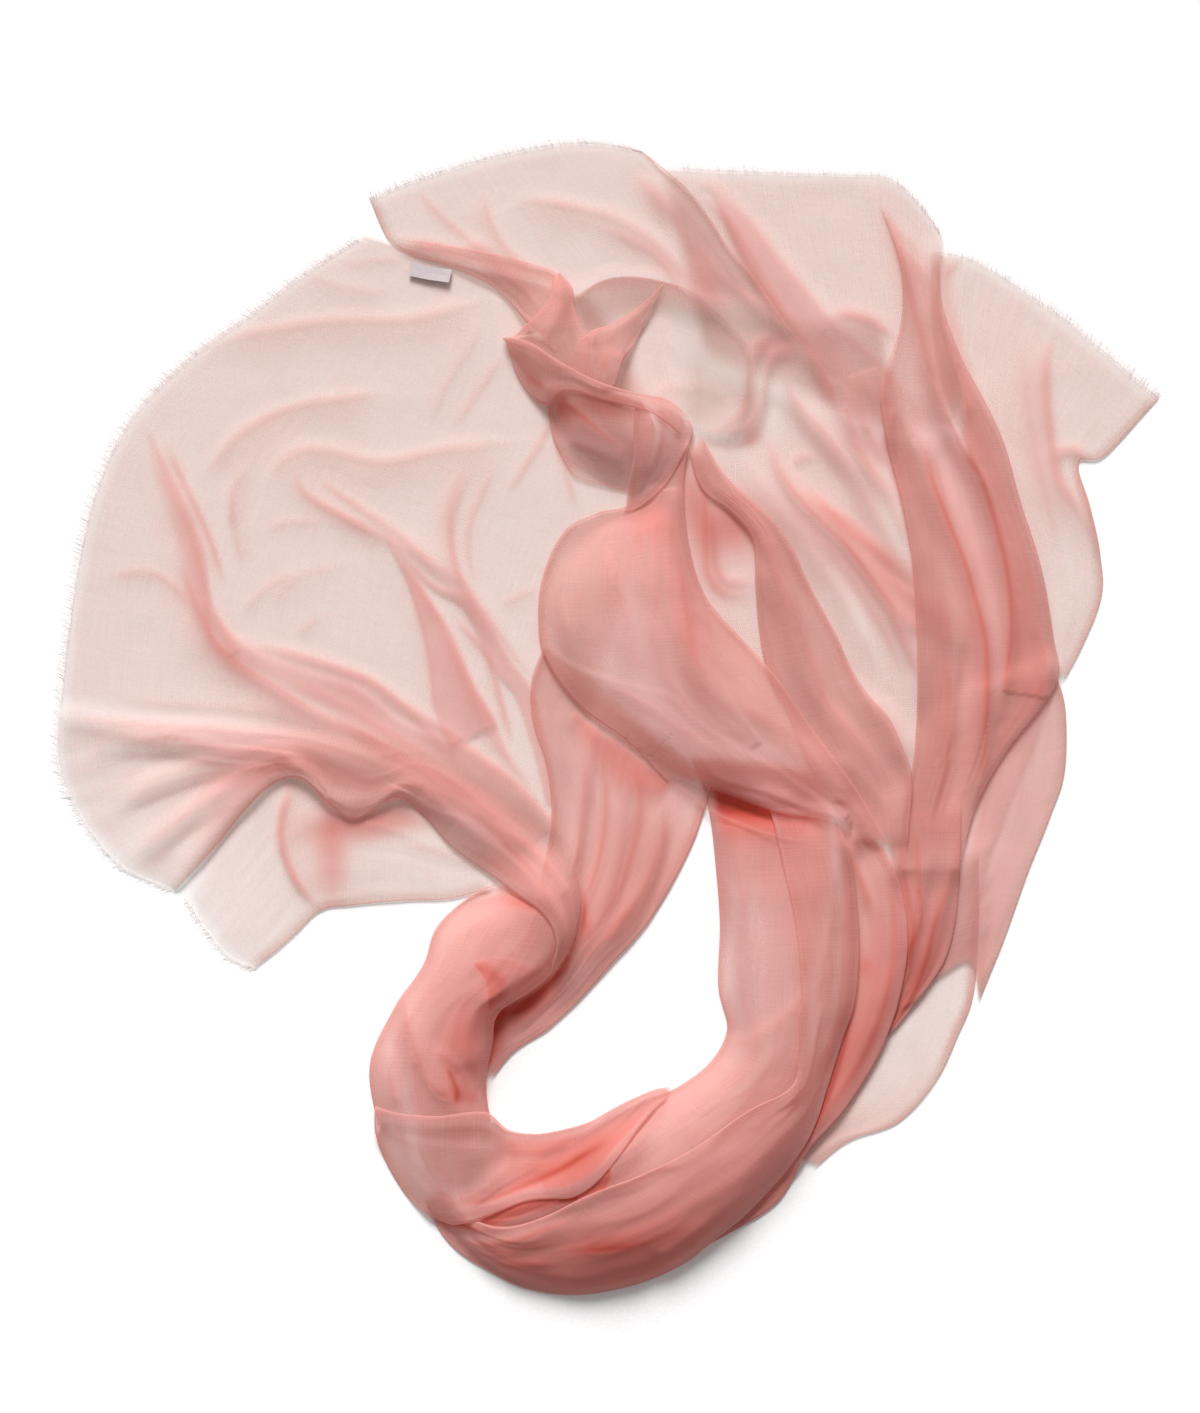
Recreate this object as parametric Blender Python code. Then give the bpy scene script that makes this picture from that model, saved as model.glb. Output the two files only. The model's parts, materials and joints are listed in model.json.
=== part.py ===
"""A feather-weight cashmere wrap, dropped and loosely looped on a flat surface.

The wrap is one plain woven sheet with two short frayed ends.  Every stretch of it that shows is a thin
wall.  A stretch is drawn in plan by a short table of sections, from one edge to the other, and is then
laid over the stretches beneath it; its folds are added last, each from one row of a table.
Plan measures are millimetres on the surface, x to the right and y towards the viewer (down the plan).
The stretches are laid in the order of the list at the end, lowest first.
"""
import math

import bmesh
import bpy
import numpy as np

# ---- driving dimensions, millimetres -------------------------------------------------------------
WALL = 1.5                  # cloth wall, loft of the nap included
SEAM_GAP = 0.75             # kept between a stretch and what it lies on, where the two slopes differ
PLAN_CENTRE = (603.27, 713.04)  # the plan point that stands over the origin
RASTER = 1.5                # spacing of the samples at which one stretch is held clear of another
SETTLE_ROUNDS = 26          # how often a stretch is smoothed and laid down again
SAG = 0.30                  # how far a stretch sinks into hollows in each of those rounds
FOLD_END = 0.16             # share of a fold's length over which it dies out at each end
END_FADE = 4.0              # how fast a curved end straightens out along its stretch
STRAND_PITCH = 10.5         # fringe
STRAND_WIDTH = 4.0
STRAND_LENGTH = 8.0
STRIP_WIDTH = 1.3           # the fringe's backing, parted from the hem
STRIP_HEIGHT = 0.9
STRIP_GAP = 0.6
STRIP_LIFT = 0.45
TIP_LIFT = 0.5
LABEL_WALL = 0.9            # the bare care label's tape
STEEPEST = 2.2              # most that a steep slope may thicken the wall upwards
DOME_EDGE = 0.93            # how far down a heart's section reaches at its edges, 1 being to nothing
FOLD_REACH = 0.62           # narrowest side of a fold, as a share of the grid's spacing
MM = 0.001

PLAN_LOW = (30.0, 110.0)    # the corner of the raster
PLAN_HIGH = (1190.0, 1320.0)

# ---- cloth colours: one ply is pale, and a gathered bundle is coral ---------------------------------
ONE_PLY = (0.85, 0.63, 0.59)
TWO_PLY = (0.77, 0.47, 0.42)
BUNDLE = (0.59, 0.24, 0.21)
DEEP = (0.45, 0.12, 0.10)
LABEL_GREY = (0.52, 0.44, 0.45)

# ---- stretches: sections (ax, ay, bx, by), with the curved first and last ends where they are curved ---
LOWER_LOBE = {
    "sections": [(178, 884, 255, 967), (230, 800, 290, 938), (300, 750, 321, 910), (350, 760, 350, 905),
                 (400, 775, 400, 900), (450, 800, 450, 898), (505, 835, 500, 884)],
    "first_end": [(190, 902), (208, 930), (230, 955)],
    "grid": (11, 7),
}
LEFT_SPREAD = {
    "sections": [(365, 235, 600, 300), (300, 276, 640, 370), (245, 318, 655, 440), (190, 357, 655, 510),
                 (130, 420, 640, 570), (95, 495, 620, 640), (78, 570, 600, 710), (68, 640, 585, 780),
                 (60, 715, 572, 868)],
    "first_end": [(450, 262), (530, 282)],
    "last_end": [(126, 724), (212, 730), (300, 748), (384, 782), (460, 818), (520, 850)],
    "grid": (31, 11),
}
PALE_LOBE = {
    "sections": [(978, 850, 925, 850), (978, 930, 910, 940), (973, 994, 890, 1000), (958, 1035, 868, 1042),
                 (933, 1078, 842, 1085), (894, 1119, 815, 1118), (845, 1131, 795, 1138),
                 (808, 1158, 785, 1158)],
    "grid": (11, 4),
}
OUTER_FOLD = {
    "sections": [(1050, 665, 965, 700), (1064, 705, 972, 745), (1064, 770, 965, 800), (1050, 815, 955, 850),
                 (1028, 870, 940, 895), (1006, 932, 928, 940), (978, 1003, 905, 1003)],
    "last_end": [(968, 966), (935, 982)],
    "grid": (11, 5),
}
RIGHT_CORNER = {
    "sections": [(940, 262, 1158, 398), (945, 330, 1105, 455), (965, 400, 1078, 462), (990, 460, 1089, 505),
                 (1010, 520, 1099, 551), (1028, 585, 1101, 595), (1045, 650, 1082, 645),
                 (1052, 678, 1062, 682)],
    "first_end": [(965, 258), (990, 270), (1035, 299), (1067, 321), (1105, 353)],
    "grid": (12, 9),
}
TOP_BACK = {
    "sections": [(655, 165, 700, 360), (700, 170, 750, 380), (752, 172, 800, 400), (800, 174, 850, 420),
                 (850, 175, 890, 435), (890, 179, 925, 440), (920, 208, 946, 425), (941, 240, 962, 400)],
    "last_end": [(937, 280), (940, 330)],
    "grid": (15, 7),
}
FAN_MIDDLE = {
    "sections": [(672, 330, 870, 330), (665, 420, 905, 400), (660, 500, 930, 470), (665, 570, 945, 540),
                 (685, 640, 955, 610), (720, 700, 955, 680), (770, 750, 945, 750), (820, 790, 930, 810),
                 (860, 830, 915, 870)],
    "grid": (15, 11),
}
MIDDLE_SHEET = {
    "sections": [(572, 300, 600, 395), (605, 280, 640, 408), (643, 278, 675, 420), (690, 292, 705, 430),
                 (728, 324, 735, 432), (752, 350, 760, 420)],
    "grid": (9, 6),
}
FAN_OUTER = {
    "sections": [(938, 258, 880, 205), (936, 300, 902, 270), (948, 350, 905, 330), (975, 395, 895, 385),
                 (1000, 445, 912, 445), (1022, 500, 925, 505), (1038, 565, 927, 565), (1052, 635, 920, 625),
                 (1050, 690, 918, 690), (1006, 751, 915, 750), (975, 810, 905, 810), (955, 868, 898, 868)],
    "grid": (16, 7),
}
TOP_FLAP = {
    "sections": [(370, 199, 531, 322), (414, 181, 560, 330), (470, 163, 600, 334), (529, 149, 640, 322),
                 (574, 143, 680, 318), (610, 145, 730, 330), (643, 152, 800, 345)],
    "first_end": [(383, 230), (396, 245), (421, 258), (452, 265), (483, 276), (513, 296)],
    "last_end": [(666, 171), (689, 191), (712, 222), (728, 248), (750, 273), (775, 310)],
    "grid": (15, 11),
}
CARE_LABEL = {
    "sections": [(411, 262, 409, 276), (431, 267, 428, 280), (452, 270, 449, 283)],
    "wall": LABEL_WALL,
    "grid": (4, 2),
}
THIRD_LEAF = {
    "sections": [(965, 800, 890, 800), (955, 868, 885, 868), (937, 908, 888, 920), (924, 957, 886, 975),
                 (905, 1003, 868, 1035), (875, 1052, 838, 1090), (840, 1105, 805, 1135),
                 (801, 1160, 785, 1155)],
    "grid": (12, 4),
}
INNER_STRAND = {
    "sections": [(706, 795, 830, 790), (715, 850, 832, 850), (721, 920, 825, 920), (719, 985, 815, 985),
                 (728, 1028, 810, 1045), (712, 1061, 790, 1095), (679, 1087, 740, 1125),
                 (640, 1103, 690, 1158), (595, 1130, 640, 1185), (545, 1165, 590, 1205),
                 (500, 1188, 535, 1232), (455, 1195, 485, 1236)],
    "grid": (20, 7),
}
SECOND_LEAF = {
    "sections": [(851, 817, 820, 815), (888, 860, 838, 862), (905, 919, 838, 925), (902, 980, 834, 993),
                 (882, 1045, 822, 1040), (848, 1102, 808, 1085), (805, 1153, 785, 1125),
                 (778, 1200, 745, 1168), (725, 1235, 695, 1212), (680, 1256, 655, 1245)],
    "grid": (18, 4),
}
OUTER_STRAND = {
    "sections": [(830, 812, 770, 800), (848, 855, 782, 860), (857, 925, 795, 925), (854, 995, 801, 988),
                 (841, 1039, 799, 1034), (825, 1085, 794, 1082), (805, 1130, 747, 1109),
                 (765, 1176, 694, 1146), (715, 1220, 640, 1173), (660, 1263, 590, 1192),
                 (590, 1291, 545, 1215), (530, 1287, 505, 1226), (480, 1262, 472, 1218),
                 (443, 1237, 450, 1200), (420, 1200, 436, 1180)],
    "grid": (25, 6),
}
BACK_STRAND = {
    "sections": [(548, 640, 715, 770), (532, 680, 706, 800), (533, 720, 694, 838), (547, 765, 672, 882),
                 (552, 815, 645, 925), (545, 865, 610, 964), (535, 920, 575, 1003), (500, 965, 545, 1030),
                 (465, 1000, 512, 1052), (450, 1050, 490, 1080)],
    "grid": (14, 7),
}
FAN_STRAND = {
    "sections": [(700, 430, 686, 450), (735, 478, 692, 500), (770, 515, 703, 545), (795, 555, 745, 578),
                 (812, 605, 758, 620), (832, 665, 768, 675), (860, 715, 790, 725), (885, 762, 822, 770),
                 (898, 815, 855, 820), (900, 860, 875, 860)],
    "grid": (16, 5),
}
BUBBLE = {
    "sections": [(600, 512, 690, 448), (568, 528, 688, 490), (548, 562, 690, 545), (539, 605, 705, 605),
                 (546, 655, 738, 645), (580, 704, 778, 688), (630, 742, 815, 735), (672, 784, 845, 775),
                 (720, 815, 865, 805), (775, 835, 878, 828), (820, 842, 888, 845)],
    "first_end": [(628, 506), (654, 488)],
    "grid": (16, 9),
}
LEFT_ROPE = {
    "sections": [(500, 880, 575, 870), (462, 903, 585, 905), (436, 930, 572, 948), (418, 965, 535, 985),
                 (390, 1005, 495, 1012), (370, 1045, 489, 1045), (365, 1075, 484, 1080),
                 (373, 1120, 490, 1122)],
    "grid": (13, 9),
}
CUFF = {
    "sections": [(373, 1109, 430, 1216), (430, 1115, 470, 1212), (484, 1114, 505, 1187),
                 (520, 1144, 540, 1166), (560, 1136, 572, 1147), (595, 1124, 605, 1128),
                 (628, 1103, 640, 1106)],
    "first_end": [(382, 1150), (403, 1190)],
    "grid": (12, 6),
}
LEFT_GATHER = {
    "sections": [(60, 712, 175, 890), (130, 722, 215, 845), (212, 728, 262, 790), (292, 737, 300, 776),
                 (340, 747, 328, 800), (378, 760, 356, 818), (412, 773, 396, 796), (445, 790, 425, 815),
                 (490, 812, 455, 848), (540, 842, 510, 885), (572, 868, 550, 905), (585, 905, 562, 935),
                 (576, 940, 556, 957), (562, 966, 552, 972)],
    "first_end": [(58, 745), (66, 785), (88, 825), (122, 864)],
    "grid": (20, 8),
}
KNOT_CUP = {
    "sections": [(549, 392, 600, 385), (550, 425, 630, 405), (558, 452, 640, 440), (571, 475, 640, 470),
                 (590, 488, 640, 494)],
    "grid": (6, 6),
}
KNOT_TAIL = {
    "sections": [(612, 405, 690, 408), (632, 425, 697, 430), (632, 464, 684, 452), (629, 495, 664, 484),
                 (628, 511, 650, 502)],
    "grid": (7, 5),
}
KNOT_BAND = {
    "sections": [(515, 338, 540, 398), (560, 345, 556, 392), (592, 337, 590, 398), (622, 322, 630, 408),
                 (648, 303, 665, 412), (664, 286, 700, 418)],
    "grid": (9, 6),
}
KNOT_CROWN = {
    "sections": [(559, 274, 552, 282), (573, 292, 548, 303), (577, 312, 532, 322), (588, 338, 506, 339),
                 (580, 352, 518, 362)],
    "grid": (8, 6),
}

# ---- hidden layers: one rounded solid for each heap, with its height over each section -----------------
LOOP_HEART = {
    "sections": [(832, 830, 725, 830), (838, 900, 735, 900), (835, 985, 740, 985), (815, 1060, 745, 1040),
                 (775, 1125, 715, 1080), (710, 1190, 665, 1120), (640, 1240, 605, 1150),
                 (570, 1258, 560, 1175), (510, 1245, 515, 1195), (470, 1230, 480, 1205)],
    "heights": [16, 30, 34, 34, 34, 34, 34, 34, 26, 12],
    "grid": (14, 6),
}
NECK_HEART = {
    "sections": [(520, 900, 560, 890), (462, 930, 555, 930), (430, 975, 525, 972), (402, 1020, 478, 1020),
                 (385, 1070, 470, 1070), (392, 1120, 480, 1125), (408, 1165, 485, 1165),
                 (440, 1195, 475, 1190)],
    "heights": [8, 24, 30, 32, 32, 32, 28, 12],
    "grid": (10, 6),
}
KNOT_HEART = {
    "sections": [(548, 300, 572, 297), (538, 335, 608, 335), (545, 375, 650, 375), (565, 410, 670, 420),
                 (580, 445, 665, 455), (610, 470, 650, 480)],
    "heights": [8, 26, 32, 30, 20, 8],
    "grid": (7, 5),
}
BUBBLE_HEART = {
    "sections": [(600, 540, 665, 525), (568, 585, 680, 580), (565, 630, 700, 630), (592, 680, 735, 670),
                 (642, 728, 775, 715), (700, 770, 815, 765), (755, 803, 838, 798)],
    "heights": [10, 28, 34, 30, 24, 16, 8],
    "grid": (10, 6),
}

# ---- folds: (rise, width of the steep side, width of the soft side, path); soft to the right of the path
FOLDS = {
    "lower_lobe": [
        (7, 7, 34, [(318, 905), (290, 866), (283, 817), (300, 772)]),
        (4, 10, 16, [(395, 842), (440, 850), (487, 876)]),
    ],
    "left_spread": [
        (8, 8, 24, [(193, 350), (260, 330), (331, 319), (400, 318), (450, 309), (503, 296)]),
        (8, 8, 28, [(199, 480), (241, 431), (292, 406), (340, 397), (394, 393)]),
        (8, 8, 26, [(262, 495), (285, 457), (318, 448), (382, 460), (450, 447), (529, 441)]),
        (9, 16, 14, [(292, 470), (318, 500), (369, 528), (407, 546), (459, 579), (507, 643), (540, 690)]),
        (5, 9, 12, [(232, 530), (232, 490), (250, 462)]),
        (5, 14, 12, [(405, 560), (420, 620), (430, 680), (434, 730)]),
        (8, 11, 16, [(438, 612), (461, 673), (484, 724), (507, 755), (543, 806)]),
        (6, 12, 12, [(468, 455), (450, 500), (452, 550), (470, 600), (500, 650)]),
        (12, 14, 22, [(137, 449), (178, 500), (195, 544), (205, 590), (212, 636), (241, 665), (284, 693),
                      (327, 719), (384, 745), (440, 777), (500, 815)]),
        (7, 9, 16, [(224, 636), (298, 656), (356, 673), (400, 700), (460, 745), (520, 800)]),
        (4, 12, 14, [(490, 315), (455, 370), (425, 430)]),
        (3, 9, 16, [(298, 268), (340, 285), (395, 294)]),
        (5, 14, 14, [(110, 700), (200, 705), (290, 712), (350, 735)]),
        (3, 14, 14, [(265, 610), (300, 575), (350, 565)]),
    ],
    "left_gather": [
        (9, 12, 16, [(72, 716), (130, 726), (212, 731), (300, 741), (380, 765), (450, 800), (520, 842)]),
        (9, 9, 12, [(110, 744), (169, 739), (225, 750), (285, 757), (320, 790), (350, 808)]),
        (7, 8, 12, [(120, 797), (165, 775), (212, 761), (260, 758)]),
        (7, 8, 12, [(130, 858), (170, 825), (205, 803), (250, 775)]),
        (6, 8, 10, [(182, 874), (215, 832), (245, 800), (270, 778)]),
        (8, 9, 12, [(300, 768), (330, 795), (372, 800), (412, 785), (440, 800)]),
        (8, 9, 12, [(430, 800), (480, 838), (530, 878), (556, 905), (560, 940)]),
        (7, 8, 10, [(480, 812), (530, 850), (566, 885), (574, 925), (564, 955)]),
    ],
    "right_corner": [
        (8, 9, 24, [(1054, 325), (1048, 375), (1051, 423), (1060, 471), (1080, 512), (1098, 548)]),
        (4, 12, 20, [(1020, 340), (1030, 420), (1045, 490), (1062, 560)]),
        (4, 8, 12, [(1048, 452), (1075, 448), (1095, 458)]),
    ],
    "top_back": [
        (9, 10, 20, [(700, 185), (740, 212), (770, 250), (800, 285), (830, 320), (880, 365), (925, 420)]),
        (5, 10, 14, [(880, 195), (897, 230), (906, 273), (912, 320), (925, 365)]),
        (5, 9, 18, [(822, 316), (849, 313), (872, 319), (900, 342)]),
    ],
    "fan_middle": [
        (7, 9, 14, [(753, 345), (753, 380), (755, 412), (738, 430), (705, 430)]),
        (7, 10, 14, [(784, 381), (804, 409), (830, 439), (853, 470), (880, 520), (925, 585)]),
        (8, 10, 16, [(766, 427), (776, 465), (804, 503), (855, 554), (881, 592), (906, 631), (919, 682)]),
        (7, 10, 14, [(840, 388), (858, 452), (885, 490), (910, 554)]),
        (6, 10, 16, [(735, 450), (790, 520), (850, 610), (880, 680)]),
        (7, 9, 14, [(862, 690), (890, 720), (912, 760)]),
    ],
    "middle_sheet": [
        (5, 8, 16, [(580, 300), (607, 286), (643, 284), (690, 299), (722, 324)]),
        (4, 8, 12, [(650, 393), (680, 384), (712, 386), (728, 408)]),
    ],
    "fan_outer": [
        (9, 10, 16, [(888, 398), (911, 432), (929, 478), (957, 541), (978, 605), (985, 669), (975, 743),
                     (955, 830)]),
        (8, 10, 18, [(936, 391), (971, 455), (997, 519), (1009, 583), (1009, 646), (1000, 710)]),
        (7, 9, 20, [(940, 320), (962, 376), (990, 425), (1011, 480), (1030, 545), (1042, 605), (1048, 665)]),
        (6, 12, 12, [(908, 460), (915, 520), (940, 590), (950, 660), (940, 740), (925, 820)]),
        (5, 9, 12, [(890, 225), (915, 290), (925, 345), (938, 390)]),
    ],
    "top_flap": [
        (9, 8, 24, [(506, 214), (529, 200), (580, 207), (620, 219), (656, 242), (682, 270), (712, 305)]),
        (7, 9, 14, [(482, 185), (488, 215), (500, 240), (520, 262), (545, 285)]),
        (6, 8, 14, [(396, 237), (434, 242), (457, 249), (485, 246), (510, 275)]),
        (8, 12, 18, [(630, 172), (665, 200), (686, 235), (706, 275), (725, 310)]),
        (5, 9, 12, [(660, 178), (700, 225), (735, 275), (765, 315)]),
    ],
    "third_leaf": [(5, 9, 12, [(935, 830), (918, 900), (905, 960), (875, 1020)])],
    "inner_strand": [
        (6, 12, 18, [(735, 820), (745, 900), (752, 960), (745, 1020)]),
        (6, 10, 16, [(795, 830), (790, 900), (790, 980), (775, 1050), (720, 1100)]),
        (6, 8, 12, [(520, 1205), (560, 1192), (600, 1170), (640, 1135), (655, 1112)]),
    ],
    "second_leaf": [(6, 9, 12, [(866, 850), (880, 900), (878, 960), (862, 1030), (828, 1090)])],
    "outer_strand": [
        (7, 12, 16, [(815, 840), (826, 920), (824, 990), (812, 1060), (780, 1130), (720, 1180), (650, 1225),
                     (580, 1250), (510, 1250)]),
        (5, 9, 12, [(520, 1240), (590, 1222), (650, 1195), (710, 1160), (770, 1118)]),
    ],
    "back_strand": [
        (7, 11, 14, [(575, 720), (585, 780), (580, 840), (565, 890)]),
        (8, 11, 14, [(612, 740), (622, 790), (618, 850), (600, 910), (560, 970)]),
        (7, 10, 14, [(650, 790), (655, 840), (636, 900), (590, 962), (535, 1020)]),
    ],
    "fan_strand": [
        (7, 9, 12, [(705, 460), (735, 500), (765, 545), (785, 600), (800, 660), (830, 720), (868, 780)]),
        (5, 8, 10, [(700, 500), (715, 535), (750, 560), (772, 600)]),
    ],
    "bubble": [
        (6, 14, 22, [(560, 640), (600, 672), (650, 710), (710, 750), (780, 800)]),
        (5, 14, 18, [(640, 530), (620, 580), (625, 640), (660, 690)]),
        (6, 12, 14, [(672, 500), (668, 560), (680, 630), (720, 690), (780, 745)]),
    ],
    "left_rope": [
        (8, 10, 14, [(545, 905), (556, 935), (545, 965), (500, 995)]),
        (8, 9, 22, [(478, 968), (488, 1000), (488, 1036), (478, 1080)]),
        (7, 9, 14, [(410, 1000), (420, 1040), (440, 1080), (456, 1110)]),
        (5, 9, 12, [(385, 1040), (392, 1075), (405, 1108)]),
    ],
    "cuff": [
        (6, 12, 16, [(380, 1118), (430, 1124), (480, 1126), (515, 1150)]),
        (6, 10, 16, [(420, 1200), (465, 1200), (505, 1175), (560, 1148)]),
    ],
    "knot_cup": [(6, 7, 10, [(556, 392), (590, 420), (632, 450)])],
    "knot_tail": [(6, 8, 12, [(645, 412), (652, 450), (646, 490)])],
    "knot_band": [(7, 8, 14, [(525, 346), (556, 358), (590, 378), (640, 396), (680, 404)]),
                  (7, 8, 12, [(570, 352), (600, 338), (640, 314), (662, 292)])],
    "knot_crown": [(9, 8, 12, [(559, 278), (566, 300), (572, 325), (582, 345)])],
}

# ---- the frayed ends: stretch, which of its edges frays, and the share of the edge that does -----------
FRAYED = [
    ("fringe_spread", "left_spread", "a", 0.01, 0.985),
    ("fringe_gather", "left_gather", "first", 0.06, 0.93),
    ("fringe_lobe", "lower_lobe", "first", 0.10, 0.97),
    ("fringe_flap", "top_flap", "a", 0.02, 0.99),
    ("fringe_back", "top_back", "a", 0.08, 0.97),
    ("fringe_corner", "right_corner", "first", 0.06, 0.985),
]


# ---- curves and plan grids ------------------------------------------------------------------------
def smooth_curve(points, steps_each=12):
    """A dense smooth curve through plan points; row k * steps_each is point k itself."""
    pts = np.asarray(points, dtype=float)
    if len(pts) == 2:
        share = np.linspace(0.0, 1.0, steps_each + 1)[:, None]
        return pts[0] + (pts[1] - pts[0]) * share
    before = np.vstack([2.0 * pts[0] - pts[1], pts[:-1]])
    after = np.vstack([pts[1:], 2.0 * pts[-1] - pts[-2]])
    slope = (after - before) * 0.5
    rows = []
    for k in range(len(pts) - 1):
        t = np.arange(steps_each)[:, None] / steps_each
        rows.append((2 * t**3 - 3 * t**2 + 1) * pts[k] + (t**3 - 2 * t**2 + t) * slope[k]
                    + (-2 * t**3 + 3 * t**2) * pts[k + 1] + (t**3 - t**2) * slope[k + 1])
    rows.append(pts[-1:])
    return np.vstack(rows)


def run_length(curve):
    """Distance along a curve at each of its points."""
    steps = np.linalg.norm(np.diff(curve, axis=0), axis=1)
    return np.concatenate([[0.0], np.cumsum(steps)])


def even_points(curve, count):
    """count + 1 points spread evenly along a curve."""
    length = run_length(curve)
    at = np.linspace(0.0, length[-1], count + 1)
    return np.stack([np.interp(at, length, curve[:, axis]) for axis in range(2)], axis=1)


def end_shift(corner_a, corner_b, middle, count):
    """How far a curved end leaves the straight line between its two corners."""
    straight = np.linspace(0.0, 1.0, count + 1)[:, None]
    line = np.asarray(corner_a) + (np.asarray(corner_b) - np.asarray(corner_a)) * straight
    if not middle:
        return np.zeros_like(line)
    return even_points(smooth_curve([corner_a, *middle, corner_b]), count) - line


def plan_grid(stretch):
    """Plan points of a stretch: rows run along its sections, columns from edge a to edge b."""
    rows, cols = stretch["grid"]
    table = np.asarray(stretch["sections"], dtype=float)
    edge_a = smooth_curve(table[:, :2])
    edge_b = smooth_curve(table[:, 2:4])
    length = 0.5 * (run_length(edge_a) + run_length(edge_b))
    at = np.linspace(0.0, length[-1], rows + 1)
    a = np.stack([np.interp(at, length, edge_a[:, k]) for k in range(2)], axis=1)
    b = np.stack([np.interp(at, length, edge_b[:, k]) for k in range(2)], axis=1)
    across = np.linspace(0.0, 1.0, cols + 1)[None, :, None]
    along = np.linspace(0.0, 1.0, rows + 1)[:, None, None]
    grid = a[:, None, :] * (1.0 - across) + b[:, None, :] * across
    first = end_shift(a[0], b[0], stretch.get("first_end"), cols)
    last = end_shift(a[-1], b[-1], stretch.get("last_end"), cols)
    return grid + (1.0 - along) ** END_FADE * first[None] + along**END_FADE * last[None]


def section_values(stretch, column, rows):
    """A named column of a stretch's table, spread over the grid's rows."""
    values = np.asarray(stretch[column], dtype=float)
    return np.interp(np.linspace(0.0, len(values) - 1.0, rows + 1), np.arange(len(values)), values)


# ---- folds ------------------------------------------------------------------------------------------
def fold_height(xy, fold, reach):
    """Height that one fold adds at plan points; reach is the narrowest side the grid can show."""
    rise, steep, soft, path = fold
    curve = smooth_curve(path, 6)
    length = run_length(curve)
    best = np.full(len(xy), 1e9)
    height = np.zeros(len(xy))
    for k in range(len(curve) - 1):
        start, step = curve[k], curve[k + 1] - curve[k]
        share = np.clip(((xy - start) @ step) / max(step @ step, 1e-9), 0.0, 1.0)
        away = xy - (start + share[:, None] * step)
        distance = np.hypot(away[:, 0], away[:, 1])
        right = step[0] * away[:, 1] - step[1] * away[:, 0] > 0.0
        width = np.where(right, max(soft, reach), max(steep, reach))
        along = (length[k] + share * (length[k + 1] - length[k])) / length[-1]
        fade = np.clip(np.minimum(along, 1.0 - along) / FOLD_END, 0.0, 1.0)
        fade = 0.35 + 0.65 * fade * fade * (3.0 - 2.0 * fade)
        value = rise * fade * np.exp(-(distance / width) ** 2)
        nearer = distance < best
        height = np.where(nearer, value, height)
        best = np.where(nearer, distance, best)
    return height


def all_folds(name, xy, reach):
    """The folds of a stretch together."""
    total = np.zeros(len(xy))
    for fold in FOLDS.get(name, []):
        total = np.maximum(total, 0.0) + fold_height(xy, fold, reach) * (1.0 - 0.35 * (total > 4.0))
    return total


# ---- laying one stretch over another ---------------------------------------------------------------
class Surface:
    """The height of what is already laid, sampled all over the plan."""

    def __init__(self):
        self.nx = int((PLAN_HIGH[0] - PLAN_LOW[0]) / RASTER) + 1
        self.ny = int((PLAN_HIGH[1] - PLAN_LOW[1]) / RASTER) + 1
        self.top = np.full(self.nx * self.ny, -SEAM_GAP)

    def samples(self, xy, triangles):
        """Which samples each triangle covers, with the three corner weights of each."""
        cells, owners, weights = [], [], []
        for number, (i, j, k) in enumerate(triangles):
            p, q, r = xy[i], xy[j], xy[k]
            area = (q[0] - p[0]) * (r[1] - p[1]) - (q[1] - p[1]) * (r[0] - p[0])
            if abs(area) < 1e-6:
                continue
            low = np.floor((np.minimum(np.minimum(p, q), r) - PLAN_LOW) / RASTER).astype(int)
            high = np.ceil((np.maximum(np.maximum(p, q), r) - PLAN_LOW) / RASTER).astype(int)
            gx, gy = np.meshgrid(np.arange(low[0], high[0] + 1), np.arange(low[1], high[1] + 1))
            gx, gy = gx.ravel(), gy.ravel()
            x, y = gx * RASTER + PLAN_LOW[0], gy * RASTER + PLAN_LOW[1]
            wq = ((x - p[0]) * (r[1] - p[1]) - (y - p[1]) * (r[0] - p[0])) / area
            wr = ((q[0] - p[0]) * (y - p[1]) - (q[1] - p[1]) * (x - p[0])) / area
            w = np.stack([1.0 - wq - wr, wq, wr], axis=1)
            inside = (w > -0.06).all(axis=1)
            cells.append((gy * self.nx + gx)[inside])
            owners.append(np.full(int(inside.sum()), number))
            weights.append(w[inside])
        return np.concatenate(cells), np.concatenate(owners), np.concatenate(weights)

    def lift(self, z, triangles, found, rounds, share):
        """Raise grid heights until every sample is clear of what lies beneath."""
        cells, owners, weights = found
        corners = triangles[owners]
        clear = self.top[cells] + SEAM_GAP
        strength = weights / np.maximum((weights**2).sum(axis=1, keepdims=True), 1e-6)
        for _ in range(rounds):
            short = clear - (z[corners] * weights).sum(axis=1)
            wanted = np.where(short > 0.0, short, 0.0)
            if wanted.max() <= 0.0:
                break
            raise_by = np.zeros_like(z)
            for corner in range(3):
                push = wanted * (strength[:, corner] if share else 1.0)
                np.maximum.at(raise_by, corners[:, corner], np.maximum(push, 0.0))
            z = z + raise_by
        return z

    def cover(self, z, triangles, found):
        """Take a laid stretch's upper side into the surface."""
        cells, owners, weights = found
        height = (z[triangles[owners]] * weights).sum(axis=1)
        np.maximum.at(self.top, cells, height)


def grid_triangles(rows, cols):
    """Two triangles for each cell of a grid, as corner numbers."""
    found = []
    for i in range(rows):
        for j in range(cols):
            a = i * (cols + 1) + j
            b, c, d = a + 1, a + cols + 2, a + cols + 1
            if (i + j) % 2:
                found += [(a, b, c), (a, c, d)]
            else:
                found += [(a, b, d), (b, c, d)]
    return np.asarray(found)


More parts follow.
